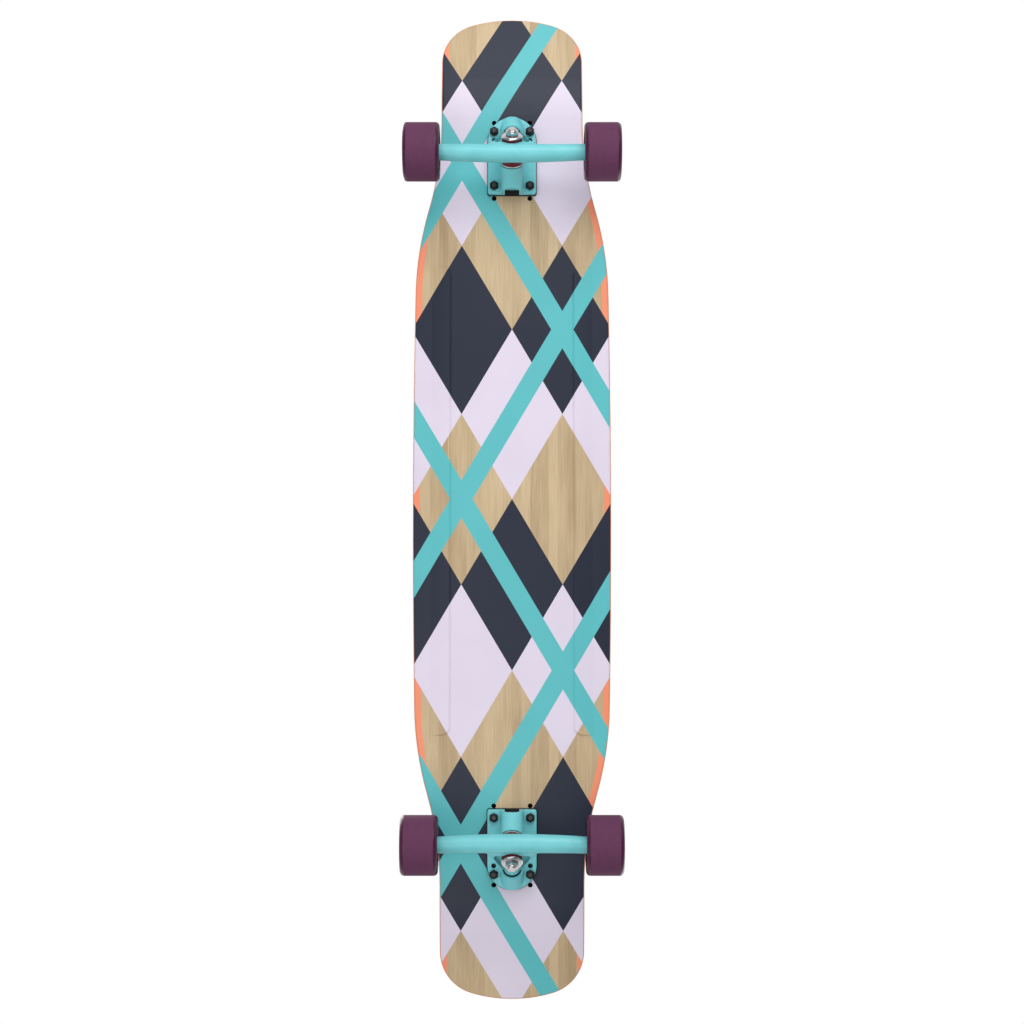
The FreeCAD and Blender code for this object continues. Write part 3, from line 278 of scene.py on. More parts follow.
class Graph:
    """A material with one Principled shader and short ways to add nodes to it."""

    # Places of a Mix node's colour sockets, whose names its other sockets share
    FIRST_COLOUR, SECOND_COLOUR, MIXED_COLOUR = 6, 7, 2
    BEVEL_SAMPLES = 6

    def __init__(self, name):
        self.material = bpy.data.materials.new(name)
        self.material.use_nodes = True
        self.tree = self.material.node_tree
        self.shader = self.tree.nodes["Principled BSDF"]
        self.height = None
        self.xyz = self.coordinates("Object")

    def node(self, kind, **settings):
        made = self.tree.nodes.new("ShaderNode" + kind)
        for name, value in settings.items():
            setattr(made, name, value)
        return made

    def feed(self, socket, value):
        """Joins a field to a socket, or sets the socket to a plain number or colour."""
        if isinstance(value, Field):
            self.tree.links.new(value.socket, socket)
        elif isinstance(value, (int, float)):
            socket.default_value = value
        else:
            socket.default_value = (*value, 1)

    def math(self, operation, first, second=None):
        made = self.node("Math", operation=operation)
        self.feed(made.inputs[0], first)
        if second is not None:
            self.feed(made.inputs[1], second)
        return Field(self, made.outputs[0])

    def ramp(self, value, low, high):
        made = self.node("MapRange", interpolation_type="SMOOTHSTEP")
        self.feed(made.inputs["Value"], value)
        self.feed(made.inputs["From Min"], low)
        self.feed(made.inputs["From Max"], high)
        return Field(self, made.outputs["Result"])

    def spread(self, value, start, end):
        """Goes in a straight line from start, where the value is 0, to end, where it is 1."""
        made = self.node("MapRange")
        self.feed(made.inputs["Value"], value)
        made.inputs["To Min"].default_value = start
        made.inputs["To Max"].default_value = end
        return Field(self, made.outputs["Result"])

    def mix(self, factor, first, second):
        made = self.node("Mix", data_type="RGBA")
        self.feed(made.inputs["Factor"], factor)
        self.feed(made.inputs[self.FIRST_COLOUR], first)
        self.feed(made.inputs[self.SECOND_COLOUR], second)
        return Field(self, made.outputs[self.MIXED_COLOUR])

    def coordinates(self, kind):
        """Three fields: Object gives the point in metres in the board's frame, Normal its facing."""
        made = self.node("TexCoord")
        parts = self.node("SeparateXYZ")
        self.tree.links.new(made.outputs[kind], parts.inputs[0])
        return [Field(self, output) for output in parts.outputs]

    def upward(self):
        """How far the surface faces up: 1 on top, 0 on a wall, -1 underneath."""
        return self.coordinates("Normal")[2]

    def scaled(self, per_metre):
        """The point in steps of which so many fit in a metre, one number or one for each axis."""
        scales = np.broadcast_to(per_metre, 3)
        return [part * float(scale) for part, scale in zip(self.xyz, scales)]

    def point(self, x, y, z):
        made = self.node("CombineXYZ")
        for socket, value in zip(made.inputs, (x, y, z)):
            self.feed(socket, value)
        return made.outputs[0]

    def noise(self, x, y, z, detail=2.0, rough=0.5):
        """Smooth noise from 0 to 1, with one wave per unit of the given coordinates."""
        made = self.node("TexNoise")
        self.tree.links.new(self.point(x, y, z), made.inputs["Vector"])
        made.inputs["Scale"].default_value = 1
        made.inputs["Detail"].default_value = detail
        made.inputs["Roughness"].default_value = rough
        return Field(self, made.outputs["Fac"])

    def waves(self, per_metre, detail=2.0, rough=0.5):
        """Smooth noise from 0 to 1, with so many waves in a metre, one number or one for each axis."""
        return self.noise(*self.scaled(per_metre), detail=detail, rough=rough)

    def grains(self, per_metre):
        """Distance to the nearest of scattered points, and a random shade for each of them."""
        made = self.node("TexVoronoi")
        self.tree.links.new(self.point(*self.scaled(per_metre)), made.inputs["Vector"])
        made.inputs["Scale"].default_value = 1
        shade = self.node("SeparateColor")
        self.tree.links.new(made.outputs["Color"], shade.inputs[0])
        return Field(self, made.outputs["Distance"]), Field(self, shade.outputs[0])

    def random(self, value):
        """A fixed random number for each whole number."""
        made = self.node("TexWhiteNoise", noise_dimensions="1D")
        self.feed(made.inputs["W"], value)
        return Field(self, made.outputs["Value"])

    def bump(self, height, depth):
        """Raises the surface by a field from 0 to 1 times a depth in metres; calls stack."""
        made = self.node("Bump")
        made.inputs["Strength"].default_value = 1
        made.inputs["Distance"].default_value = depth
        self.feed(made.inputs["Height"], height)
        if self.height is not None:
            self.tree.links.new(self.height, made.inputs["Normal"])
        self.height = made.outputs["Normal"]

    def soften(self, radius):
        """Rounds the look of sharp edges by a small radius, under any bumps that follow."""
        made = self.node("Bevel", samples=self.BEVEL_SAMPLES)
        made.inputs["Radius"].default_value = radius
        self.height = made.outputs["Normal"]

    def done(self, **sockets):
        """Sets the shader's sockets, named with underscores for spaces, and gives the material."""
        for name, value in sockets.items():
            self.feed(self.shader.inputs[name.replace("_", " ")], value)
        if self.height is not None:
            self.tree.links.new(self.height, self.shader.inputs["Normal"])
        return self.material


def dress(material, *names):
    """Puts a material on CAD nodes."""
    for name in names:
        for slot in frame["nodes"][name].material_slots:
            slot.material = material


def tint(base, factor):
    """A colour made darker or lighter by a factor."""
    return [min(1, part * factor) for part in base]


def pair(name):
    return ["%s_%s" % (end, name) for end in ENDS]


def four(name):
    return ["%s_%s" % (wheel, name) for wheel in WHEELS]


# Deck finishes

# Waves of the wood's figure in a metre, along and across the grain
BLOTCH_WAVES = (9, 22)
STREAK_WAVES = (26, 900)
PORE_WAVES = (190, 2600)
STAIN_WAVES = 60
# How far the noise moves on from one strip of veneer, or one ply, to the next
BLOTCH_STEP = 7.3
STREAK_STEP = (3.1, 1.7)
STAIN_STEP = 3.7
# Shares of a strip's own shade, its blotches and its streaks in the wood's tone, and the tone's drop
STRIP_SHARE, BLOTCH_SHARE, STREAK_SHARE, TONE_DROP = 0.22, 0.55, 0.55, 0.22
PORE_SHARE = 0.35
PLY_SHARE, STAIN_SHARE = 0.35, 0.3
# Blur of the print's edges, in metres
PRINT_EDGE = 0.0007
# Diamonds are lilac, navy or bare, numbered from 0
DIAMOND_KINDS = 3
LILAC_END, NAVY_END, KIND_BLUR = 0.5, 1.5, 0.1
# The underside faces up by less than this; what faces up by more is a side or a hole's wall.
WALL_FACING, WALL_BLUR = -0.72, 0.1
# The deck's own side lies within this margin of its outline, or this far from its middle.
SIDE_MARGIN = 0.02
SIDE_REACH = 0.46
# Reach of a hole's wall over the hole's radius, and the painted shade on a hole's wall as a share of dark wood's
# colour
HOLE_ROOM = 1.5
HOLE_PAINTED_SHADE = 0.05
# Share of a faint soiling over the print, and how much rougher the walls are
SOIL_SHARE = 0.07
WALL_DULLNESS = 0.2
# Shares of wear and of a painted glint on a few grains in the grip tape's paler colour
WORN_SHARE, GLINT_SHARE = 0.25, 0.4


def veneer(graph, settings):
    """Wood in long narrow strips: each has its own shade, with streaks drawn out along the deck."""
    x, y, _ = graph.xyz
    strip = (y / settings.strip_width).floor()
    shade = graph.random(strip)
    blotch = graph.noise(
        x * BLOTCH_WAVES[0] + strip * BLOTCH_STEP, y * BLOTCH_WAVES[1], strip, detail=3)
    streak = graph.noise(
        x * STREAK_WAVES[0] + strip * STREAK_STEP[0], y * STREAK_WAVES[1], strip * STREAK_STEP[1],
        detail=4, rough=0.6)
    pores = graph.noise(x * PORE_WAVES[0], y * PORE_WAVES[1], strip).above(0.66, blur=0.12)
    tone = shade * STRIP_SHARE + blotch * BLOTCH_SHARE + streak * STREAK_SHARE - TONE_DROP
    wood = graph.mix(tone.above(0.5, blur=0.85), settings.wood_light, settings.wood_dark)
    return graph.mix(pores * PORE_SHARE, wood, settings.wood_dark), streak


def half_width(x):
    """Half the deck's width at x: bowed sides, an S curve of two parabolas, and straight necks."""
    # The outline's half widths in the CAD model, and how far from the middle two of them lie
    side, shoulder, neck = 0.114, 0.1118, 0.082
    shoulder_x, neck_x = 0.232, 0.44
    along = abs(x)
    bow = (along / shoulder_x).at_most(1).power(2) * (side - shoulder)
    run = ((along - shoulder_x) / (neck_x - shoulder_x)).at_least(0).at_most(1)
    first = run.at_most(0.5).power(2) * 2
    second = (-run + 1).at_most(0.5).power(2) * -2 + 0.5
    return -(bow + (first + second) * (shoulder - neck)) + side


def deck_finish(settings):
    """Veneer with a print of diamonds and crossing bands, coral edges, stained plies and painted shade on the
    holes' walls.
    """
    graph = Graph("deck_print")
    x, y, z = graph.xyz
    wood, streak = veneer(graph, settings)
    # Diamonds lie on two slanted grids; every third row of them across the deck is left bare.
    first = x / settings.diamond_length + y / settings.diamond_width
    second = x / settings.diamond_length - y / settings.diamond_width
    kind = (first.floor() + second.floor()).every(DIAMOND_KINDS)
    patch = graph.mix(kind.above(LILAC_END, blur=KIND_BLUR), settings.lilac, settings.navy)
    printed = kind.below(NAVY_END, blur=KIND_BLUR)
    steepness = math.hypot(1 / settings.diamond_length, 1 / settings.diamond_width)
    band_half = settings.band_width / 2

    def band(grid, turn):
        """A straight band down the middle of every other row of diamonds."""
        distance = abs(grid.fraction() - 0.5) / steepness
        return distance.below(band_half, blur=PRINT_EDGE) * abs(grid.floor().every(2) - turn)

    edge = half_width(x) - abs(y)
    base = graph.mix(edge.below(settings.stripe_width, blur=PRINT_EDGE), wood, settings.coral)
    base = graph.mix(printed, base, patch)
    base = graph.mix(band(first, 0).at_least(band(second, 1)), base, settings.teal)
    # The side shows the plies' edges under a coral stain, and walls on the bolts' two lines are holes, painted
    # nearly black as shade.
    ply = (z / settings.ply).floor()
    stain = graph.noise(x * STAIN_WAVES, y * STAIN_WAVES, ply * STAIN_STEP, detail=3)
    bare = graph.random(ply) * PLY_SHARE + stain * STAIN_SHARE
    side = graph.mix(bare, settings.coral, settings.wood_dark)
    ends = abs(x).above(SIDE_REACH, blur=PRINT_EDGE)
    outer = edge.below(SIDE_MARGIN, blur=PRINT_EDGE).at_least(ends)
    hole = abs(abs(y) - HOLE_LINE).below(HOLE_RADIUS * HOLE_ROOM, blur=PRINT_EDGE)
    wall = graph.upward().above(WALL_FACING, blur=WALL_BLUR)
    # Painted shade: the walls of the bolt holes are painted nearly black, standing for the shade inside the holes.
    base = graph.mix(wall * hole, base, tint(settings.wood_dark, HOLE_PAINTED_SHADE))
    base = graph.mix(wall * outer, base, side)
    cloud = graph.waves(per_metre=14, detail=3)
    base = graph.mix(cloud.above(0.5, blur=0.7) * SOIL_SHARE, base, settings.navy)
    graph.bump(streak, depth=0.00004)
    graph.bump(graph.waves(per_metre=2400), depth=0.00001)
    return graph.done(
        Base_Color=base,
        Roughness=graph.spread(cloud, start=0.36, end=0.5) + wall * WALL_DULLNESS,
        Specular_IOR_Level=0.35,
    )


def grip_finish(settings):
    """Black abrasive sheet: crowded grains, a few of them glossier and with a painted glint in their colour."""
    graph = Graph("grip_tape_grit")
    distance, shade = graph.grains(per_metre=1 / settings.grit_size)
    worn = graph.waves(per_metre=(5, 9, 5), detail=4)
    graph.bump(-distance + 1, depth=0.0004)
    glint = shade.above(0.93, blur=0.04)
    # Painted highlight: the glint makes a few grains lighter in colour; the wear adds real paler patches.
    wear_and_painted_glint = worn * WORN_SHARE + glint * GLINT_SHARE
    return graph.done(
        Base_Color=graph.mix(wear_and_painted_glint, settings.grit, tint(settings.grit, 5)),
        Roughness=graph.spread(glint, start=0.92, end=0.4),
        Specular_IOR_Level=0.3,
    )


# Truck finishes

# Shares of the rubbed tone on black steel, and of the dust on rubber
RUB_SHARE = 0.6
DUST_SHARE = 0.5


def paint_finish(settings):
    """Satin paint on a casting: faint waves, slightly deeper where the coat is thicker."""
    graph = Graph("truck_paint")
    cloud = graph.waves(per_metre=35, detail=4)
    graph.soften(radius=0.0011)
    graph.bump(graph.waves(per_metre=1 / settings.peel, detail=3), depth=0.00006)
    return graph.done(
        Base_Color=graph.mix(cloud.above(0.5, blur=0.5), settings.paint, settings.paint_deep),
        Roughness=graph.spread(cloud, start=0.38, end=0.48),
        Specular_IOR_Level=0.5,
        Coat_Weight=0.18,
        Coat_Roughness=0.34,
    )


def steel_finish(settings):
    """Bright plated steel with fine turning marks and faint smears."""
    graph = Graph("bright_steel")
    smear = graph.waves(per_metre=150, detail=4)
    graph.soften(radius=0.0002)
    graph.bump(graph.waves(per_metre=(2500, 2500, 9000)), depth=0.000006)
    return graph.done(
        Base_Color=graph.mix(smear, settings.steel, tint(settings.steel, 0.8)),
        Metallic=1.0,
        Roughness=graph.spread(smear, start=0.1, end=0.26),
    )


def black_steel_finish(name, base):
    """Black oxide on steel, rubbed a little brighter in places."""
    graph = Graph(name)
    rub = graph.waves(per_metre=420, detail=5, rough=0.6)
    graph.bump(rub, depth=0.00003)
    return graph.done(
        Base_Color=graph.mix(rub.above(0.66, blur=0.2) * RUB_SHARE, base, tint(base, 4)),
        Roughness=graph.spread(rub, start=0.3, end=0.55),
        Specular_IOR_Level=0.35,
    )


def rubber_finish(settings):
    """Moulded black rubber with a fine grain and a little dust."""
    graph = Graph("black_rubber")
    dust = graph.waves(per_metre=60, detail=4)
    graph.bump(graph.waves(per_metre=3000), depth=0.00003)
    dusty = dust.above(0.6, blur=0.3) * DUST_SHARE
    return graph.done(
        Base_Color=graph.mix(dusty, settings.rubber, tint(settings.rubber, 2.2)),
        Roughness=graph.spread(dust, start=0.6, end=0.8),
        Specular_IOR_Level=0.35,
    )


def bushing_finish(settings):
    """Dark red urethane, glossy and slightly cloudy."""
    graph = Graph("bushing_urethane")
    cloud = graph.waves(per_metre=180, detail=3)
    graph.bump(graph.waves(per_metre=900), depth=0.00002)
    return graph.done(
        Base_Color=graph.mix(cloud.above(0.5, blur=0.6), settings.bushing, tint(settings.bushing, 1.7)),
        Roughness=graph.spread(cloud, start=0.22, end=0.4),
        Specular_IOR_Level=0.4,
    )


# Wheel finishes

# The tread begins at this share of the wheel's radius, and blends in over another.
TREAD_START, TREAD_BLUR = 0.93, 0.04
# Shares of the grinding rings and of dapples in the tread's wear, and of dapples in its gloss
RING_SHARE, DAPPLE_SHARE, DAPPLE_DULLNESS = 0.6, 0.4, 0.08


def tyre_finish(settings):
    """Cast urethane: a matte tread ground round and round, between glossy darker lips and faces."""
    graph = Graph("tyre_urethane")
    x, y, z = graph.xyz
    across = abs(abs(y) - AXLE_PLACE[1])
    tread = across.below(WHEEL_HALF_WIDTH - settings.lip_width, blur=0.0012)
    radius = ((abs(x) - AXLE_PLACE[0]).power(2) + (z - AXLE_PLACE[2]).power(2)).root()
    ground = tread * radius.above(WHEEL_RADIUS * TREAD_START, blur=WHEEL_RADIUS * TREAD_BLUR)
    rings = graph.waves(per_metre=(55, 1 / settings.groove, 55), detail=4, rough=0.65)
    dapple = graph.waves(per_metre=260, detail=3)
    graph.soften(radius=0.0005)
    graph.bump(rings * ground, depth=0.00009)
    graph.bump(graph.waves(per_metre=1800) * ground, depth=0.00005)
    wear = (rings * RING_SHARE + dapple * DAPPLE_SHARE).above(0.5, blur=0.45)
    worn = graph.mix(wear, settings.tread, tint(settings.tread, 1.28))
    return graph.done(
        Base_Color=graph.mix(ground, settings.lip, worn),
        Roughness=graph.spread(ground, start=0.26, end=0.72) + dapple * DAPPLE_DULLNESS,
        Specular_IOR_Level=0.3,
    )


def plain_finish(name, base, smooth, rough, metallic=0.0):
    """A moulded or ground surface: one colour with a fine cloud in its shade and polish."""
    graph = Graph(name)
    cloud = graph.waves(per_metre=500, detail=4)
    graph.bump(cloud, depth=0.00001)
    return graph.done(
        Base_Color=graph.mix(cloud, base, tint(base, 0.75)),
        Metallic=metallic,
        Roughness=graph.spread(cloud, start=smooth, end=rough),
    )


# Surfaces on a grid

# Points round a turned piece, on a quarter bend, on a cup washer's bend and along a bushing's side
ROUND = 72
BEND_STEPS = 6
CUP_STEPS = 12
CROWN_STEPS = 25
ROWS_PER_TURN = 8
MERGE_DISTANCE = 1e-7
SHARP_ANGLE = math.radians(35)
# Nuts and heads: slope of the cone, corner and flat end over the flats, and the collar's sizes
CONE_ANGLE = math.radians(30)
CORNER_SHARE = 2 / math.sqrt(3)
FACE_SHARE = 0.97
COLLAR_SHARE = 0.86
COLLAR_HEIGHT_SHARE = 0.27
COLLAR_ROUND_SHARE = 0.6
# Depth of a thread over its pitch, its end cone's over that depth, and a socket's over its head's
DEPTH_SHARE = 0.55
END_SHARE = 1.2
SOCKET_SHARE = 0.9
# A greatest radius that no piece reaches, and the pitch of a piece without a thread
NO_CAP = 1.0
NO_PITCH = 1.0
# Bulge of a bushing's side, and rounding of small edges
CROWN = 0.0005
EASE = 0.00015
# Turns a profile's rows end for end: only the height changes its sign.
END_FOR_END = (1, -1, 1, 1, 1)


def grid_object(name, points, material, close_rows=False):
    """A mesh from one or more grids of points, whose columns run round and close; poles are merged."""
    tall, wide = points.shape[-3:-1]
    first = np.arange(points[..., 0].size // (tall * wide))[:, None, None] * tall * wide
    row = np.arange(tall if close_rows else tall - 1)[None, :, None]
    column = np.arange(wide)[None, None, :]
    next_row = (row + 1) % tall
    next_column = (column + 1) % wide
    quads = np.stack([
        first + row * wide + column, first + row * wide + next_column,
        first + next_row * wide + next_column, first + next_row * wide + column,
    ], axis=-1).reshape(-1, 4)
    mesh = bpy.data.meshes.new(name)
    mesh.from_pydata(points.reshape(-1, 3), [], quads)
    shell = bmesh.new()
    shell.from_mesh(mesh)
    bmesh.ops.remove_doubles(shell, verts=shell.verts, dist=MERGE_DISTANCE)
    bmesh.ops.recalc_face_normals(shell, faces=shell.faces)
    shell.to_mesh(mesh)
    shell.free()
    mesh.shade_smooth()
    mesh.set_sharp_from_angle(angle=SHARP_ANGLE)
    mesh.materials.append(material)
    made = bpy.data.objects.new(name, mesh)
    bpy.context.scene.collection.objects.link(made)
    return made


def stand_for(piece, node, body):
    """Lets a new piece ride on a body in place of a CAD node."""
    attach(piece, body)
    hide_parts(node)


def steel_piece(end, name, points, material, body, closed=True):
    """Puts a turned steel piece in the place of a truck's CAD node."""
    node = "%s_%s" % (end, name)
    piece = grid_object(node + "_steel", points, material, close_rows=closed)
    stand_for(piece, node, body)


def axis_frame(way):
    """Two directions square to an axis and to each other, for an axis along y or square to it."""
    side = UP if way[1] else LEFT
    return side, np.cross(way, side)


def round_points(radius, height, angle, origin, way):
    """Points at a radius and angle about an axis, at a height along it; the three arrays broadcast."""
    side, other = axis_frame(way)
    radius, height, angle = np.broadcast_arrays(radius, height, angle)
    return (np.asarray(origin)[..., None, None, :] + height[..., None] * way
            + (radius * np.cos(angle))[..., None] * side
            + (radius * np.sin(angle))[..., None] * other)


def turn_angles(count):
    return np.linspace(0, 2 * math.pi, count, endpoint=False)[None, :]


def quarter_bend(steps):
    return np.linspace(0, math.pi / 2, steps)


def hexagon_share(angle):
    """Radius of a hexagon over its flats' distance: one over the cosine of the angle from the nearest
    flat's middle."""
    sector = math.pi / 3
    return 1 / np.cos((angle + sector / 2) % sector - sector / 2)


def rows(radius, height, six=0.0, cap=NO_CAP, thread=0.0):
    """Rows of a turned profile: radius, height, six-sidedness from 0 to 1, greatest radius and depth of
    thread."""
    parts = np.broadcast_arrays(np.atleast_1d(radius), height, six, cap, thread)
    return np.stack(parts, axis=1).astype(float)


def lathe_points(profile, pitch, origin, way):
    """Turns rows about an axis: the radius may follow a hexagon, stops at its cap, and loses the thread's
    depth along a triangular wave that climbs one pitch in each turn."""
    angle = turn_angles(ROUND)
    radius, height, six, cap, depth = profile.T[..., None]
    radius = np.minimum(radius * (1 + six * (hexagon_share(angle) - 1)), cap)
    wave = abs((height / pitch - angle / (2 * math.pi)) % 1 * 2 - 1)
    return round_points(radius - depth * wave, height, angle, origin, way)


def hexagon_rows(flat, low, high):
    """A six-sided bar, its flats a given distance from the axis, with both rims turned to cones."""
    face, corner = flat * FACE_SHARE, flat * CORNER_SHARE
    step = np.linspace(0, 1, BEND_STEPS)
    rise = (corner - face) * math.tan(CONE_ANGLE) * step
    cap = face + (corner - face) * step
    return np.concatenate([
        rows(flat, low + rise, six=1, cap=cap),
        rows(flat, high - rise[::-1], six=1, cap=cap[::-1]),
    ])


def nut_rows(bore, flat, low, high):
    """A lock nut seated at low: bore, hexagon, round-shouldered collar, and a ring sunk round the
    bolt."""
    collar = flat * COLLAR_SHARE
    shelf = high - (high - low) * COLLAR_HEIGHT_SHARE
    ease = (high - shelf) * COLLAR_ROUND_SHARE
    bend = quarter_bend(BEND_STEPS)
    ring = (bore + collar - ease) / 2
    return np.concatenate([
        rows(bore, low),
        hexagon_rows(flat, low, shelf),
        rows(collar, shelf),
        rows(collar - ease + ease * np.cos(bend), high - ease + ease * np.sin(bend)),
        rows([ring, ring, bore], [high, high - EASE * 2, high - EASE * 2]),
    ])


def thread_rows(radius, low, high, pitch):
    """A thread between two heights, which runs out over one turn at low and ends in a cone and a flat
    at high."""
    depth = pitch * DEPTH_SHARE
    height = np.linspace(low, high - depth, int((high - low) / pitch * ROWS_PER_TURN))
    fade = np.clip((height - low) / pitch, 0, 1)
    return np.concatenate([
        rows(radius, height, thread=depth * fade),
        rows([radius - depth * END_SHARE, 0], high),
    ])


def bolt_rows(head, shank, socket, total, thread, pitch):
    """A countersunk bolt hung from its face: six-sided socket, face, cone to the shank, and thread."""
    deep = (head - shank) * SOCKET_SHARE
    return np.concatenate([
        rows(0, deep),
        rows(socket, [deep, EASE], six=1),
        rows([socket * CORNER_SHARE + EASE, head - 2 * EASE, head - EASE], [0, 0, EASE]),
        rows(shank, head - shank),
        thread_rows(shank, total - thread, total, pitch),
    ])


def washer_rows(bore, rim, flat, settings):
    """A pressed cup from its seat at 0: flat round the bore, then a quarter ellipse over to the lip, and
    back."""
    bend = quarter_bend(CUP_STEPS)
    lip, sheet = settings.washer_height, settings.washer_sheet
    inner = rim - settings.washer_wall
    return np.concatenate([
        rows(bore, 0),
        rows(flat + (rim - flat) * np.sin(bend), lip * (1 - np.cos(bend))),
        rows([inner, inner, bore], [lip, sheet, sheet]),
    ])


def bushing_rows(bore, rim, low, high, ease):
    """A closed loop: bore, a flat end, a rounded rim, a side with a parabolic crown, and back."""
    bend = quarter_bend(BEND_STEPS)
    crown = np.linspace(-1, 1, CROWN_STEPS)[1:-1]
    middle, reach = (low + high) / 2, (high - low) / 2 - ease
    return np.concatenate([
        rows(bore, low),
        rows(rim - ease + ease * np.sin(bend), low + ease - ease * np.cos(bend)),
        rows(rim + CROWN * (1 - crown ** 2), middle + crown * reach),
        rows(rim - ease + ease * np.cos(bend), high - ease + ease * np.sin(bend)),
        rows(bore, high),
    ])


# Operators

class LONGBOARD_OT_deck(bpy.types.Operator):
    """Prints the deck, stains its side and lays the grip tape's grit."""

    bl_idname = "longboard.dress_deck"
    bl_label = "Dress the deck"

    def execute(self, context):
        settings = context.scene.longboard_deck
        dress(deck_finish(settings), "deck")
        dress(grip_finish(settings), "grip_tape")
        return {"FINISHED"}


class LONGBOARD_OT_trucks(bpy.types.Operator):
    """Paints the castings and finishes the rubber of both trucks."""

    bl_idname = "longboard.dress_trucks"
    bl_label = "Dress the trucks"

    def execute(self, context):
        settings = context.scene.longboard_truck
        dress(paint_finish(settings), *pair("baseplate"), *pair("hanger"))
        dress(rubber_finish(settings), *pair("riser_pad"), *pair("pivot_cup"))
        return {"FINISHED"}


class LONGBOARD_OT_kingpins(bpy.types.Operator):
    """Turns the kingpins, their nuts and the cup washers."""

    bl_idname = "longboard.make_kingpins"
    bl_label = "Make the kingpins"

    def execute(self, context):
        settings = context.scene.longboard_fastener
        steel = steel_finish(context.scene.longboard_truck)
        pitch = settings.kingpin_pitch
        for end in ENDS:
            origin, way = ring_centre(end), kingpin_way(end)
            seat, top, bore, corner = reach_along(end + "_kingpin_nut", origin, way)
            flat = corner / CORNER_SHARE
            nut = lathe_points(nut_rows(bore, flat, seat, top), pitch, origin, way)
            low, high, _, _ = reach_along(end + "_kingpin", origin, way)
            pin = lathe_points(np.concatenate([
                rows(0, low),
                hexagon_rows(flat, low, low + settings.kingpin_head),
                rows(bore, low + settings.kingpin_head),
                thread_rows(bore, high - settings.kingpin_thread, high, pitch),
            ]), pitch, origin, way)
            low, high, _, rim = reach_along(end + "_cup_washers", origin, way)
            flat_cup = washer_rows(bore, rim, rim - settings.washer_wall, settings)
            domed_cup = washer_rows(bore, rim, (bore + rim) / 2, settings)
            cups = np.stack([
                lathe_points(flat_cup, pitch, origin + way * low, way),
                lathe_points(domed_cup, pitch, origin + way * high, -way),
            ])
            steel_piece(end, "kingpin", pin, steel, "board", closed=False)
            steel_piece(end, "kingpin_nut", nut, steel, "board")
            steel_piece(end, "cup_washers", cups, steel, "board")
        return {"FINISHED"}


class LONGBOARD_OT_axles(bpy.types.Operator):
    """Turns the axles with a thread on each end, and their nuts."""

    bl_idname = "longboard.make_axles"
    bl_label = "Make the axles"

    def execute(self, context):
        settings = context.scene.longboard_fastener
        steel = steel_finish(context.scene.longboard_truck)
        dress(steel, *pair("speed_rings"), *pair("bearing_spacers"))
        pitch = settings.kingpin_pitch
        for end in ENDS:
            origin = np.mean([wheel_centre("%s_%s" % (end, side)) for side in SIDES], axis=0)
            _, reach, _, radius = reach_along(end + "_axle", origin, LEFT)
            half = thread_rows(radius, reach - settings.axle_thread, reach, pitch)
            axle = lathe_points(np.concatenate([half[::-1] * END_FOR_END, half]), pitch, origin, LEFT)
            _, top, bore, corner = reach_along(end + "_axle_nuts", origin, LEFT)
            _, seat, _, _ = reach_along(end + "_speed_rings", origin, LEFT)
            nut = nut_rows(bore, corner / CORNER_SHARE, seat, top)
            nuts = np.stack([lathe_points(nut, pitch, origin, way) for way in (LEFT, -LEFT)])
            steel_piece(end, "axle", axle, steel, end + "_hanger", closed=False)
            steel_piece(end, "axle_nuts", nuts, steel, end + "_hanger")
        return {"FINISHED"}


class LONGBOARD_OT_bolts(bpy.types.Operator):
    """Turns the eight mounting bolts and their lock nuts."""

    bl_idname = "longboard.make_bolts"
    bl_label = "Make the mounting bolts"

    def execute(self, context):
        settings = context.scene.longboard_fastener
        truck = context.scene.longboard_truck
        corners = np.array([(x, y) for x in (-1, 1) for y in (-1, 1)]) / 2
        step = corners * (settings.bolt_long, settings.bolt_wide)
        spots = np.concatenate([truck_centre(end)[:2] + step for end in ENDS])
        spots = np.concatenate([spots, np.zeros((len(spots), 1))], axis=1)
        far = settings.bolt_wide / 2
        bolt_low, bolt_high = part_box("mount_bolts")
        nut_low, nut_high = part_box("mount_nuts")
        shank = settings.bolt_width / 2
        bolt = bolt_rows(bolt_high.y - far, shank, settings.socket / 2, bolt_high.z - bolt_low.z,
                         settings.bolt_thread, settings.bolt_pitch)
        nut = nut_rows(shank, nut_high.y - far, -nut_high.z, -nut_low.z)
        for name, profile, top, base in (("mount_bolts", bolt, bolt_high.z, truck.black_bolt),
                                         ("mount_nuts", nut, 0, truck.black_nut)):
            points = lathe_points(profile, settings.bolt_pitch, spots + UP * top, -UP)
            finish = black_steel_finish(name + "_black", base)
            piece = grid_object(name + "_steel", points, finish, close_rows=name == "mount_nuts")
            stand_for(piece, name, "board")
        return {"FINISHED"}


class LONGBOARD_OT_bushings(bpy.types.Operator):
    """Turns the bushings, each between its washer and its hanger."""

    bl_idname = "longboard.make_bushings"
    bl_label = "Make the bushings"

    def execute(self, context):
        settings = context.scene.longboard_truck
        material = bushing_finish(settings)
        for end in ENDS:
            origin, way = ring_centre(end), kingpin_way(end)
            for name, seat_first in (("boardside_bushing", True), ("roadside_bushing", False)):
                node = "%s_%s" % (end, name)
                low, high, bore, rim = reach_along(node, origin, way)
                profile = bushing_rows(bore, rim - CROWN, low, high, settings.bushing_round)
                points = lathe_points(profile, NO_PITCH, origin, way)
                piece = grid_object(node + "_urethane", points, material, close_rows=True)
                seat, ring = (low, high) if seat_first else (high, low)
                origin + way * seat
                origin + way * ring
                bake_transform(piece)
                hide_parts(node)
        return {"FINISHED"}


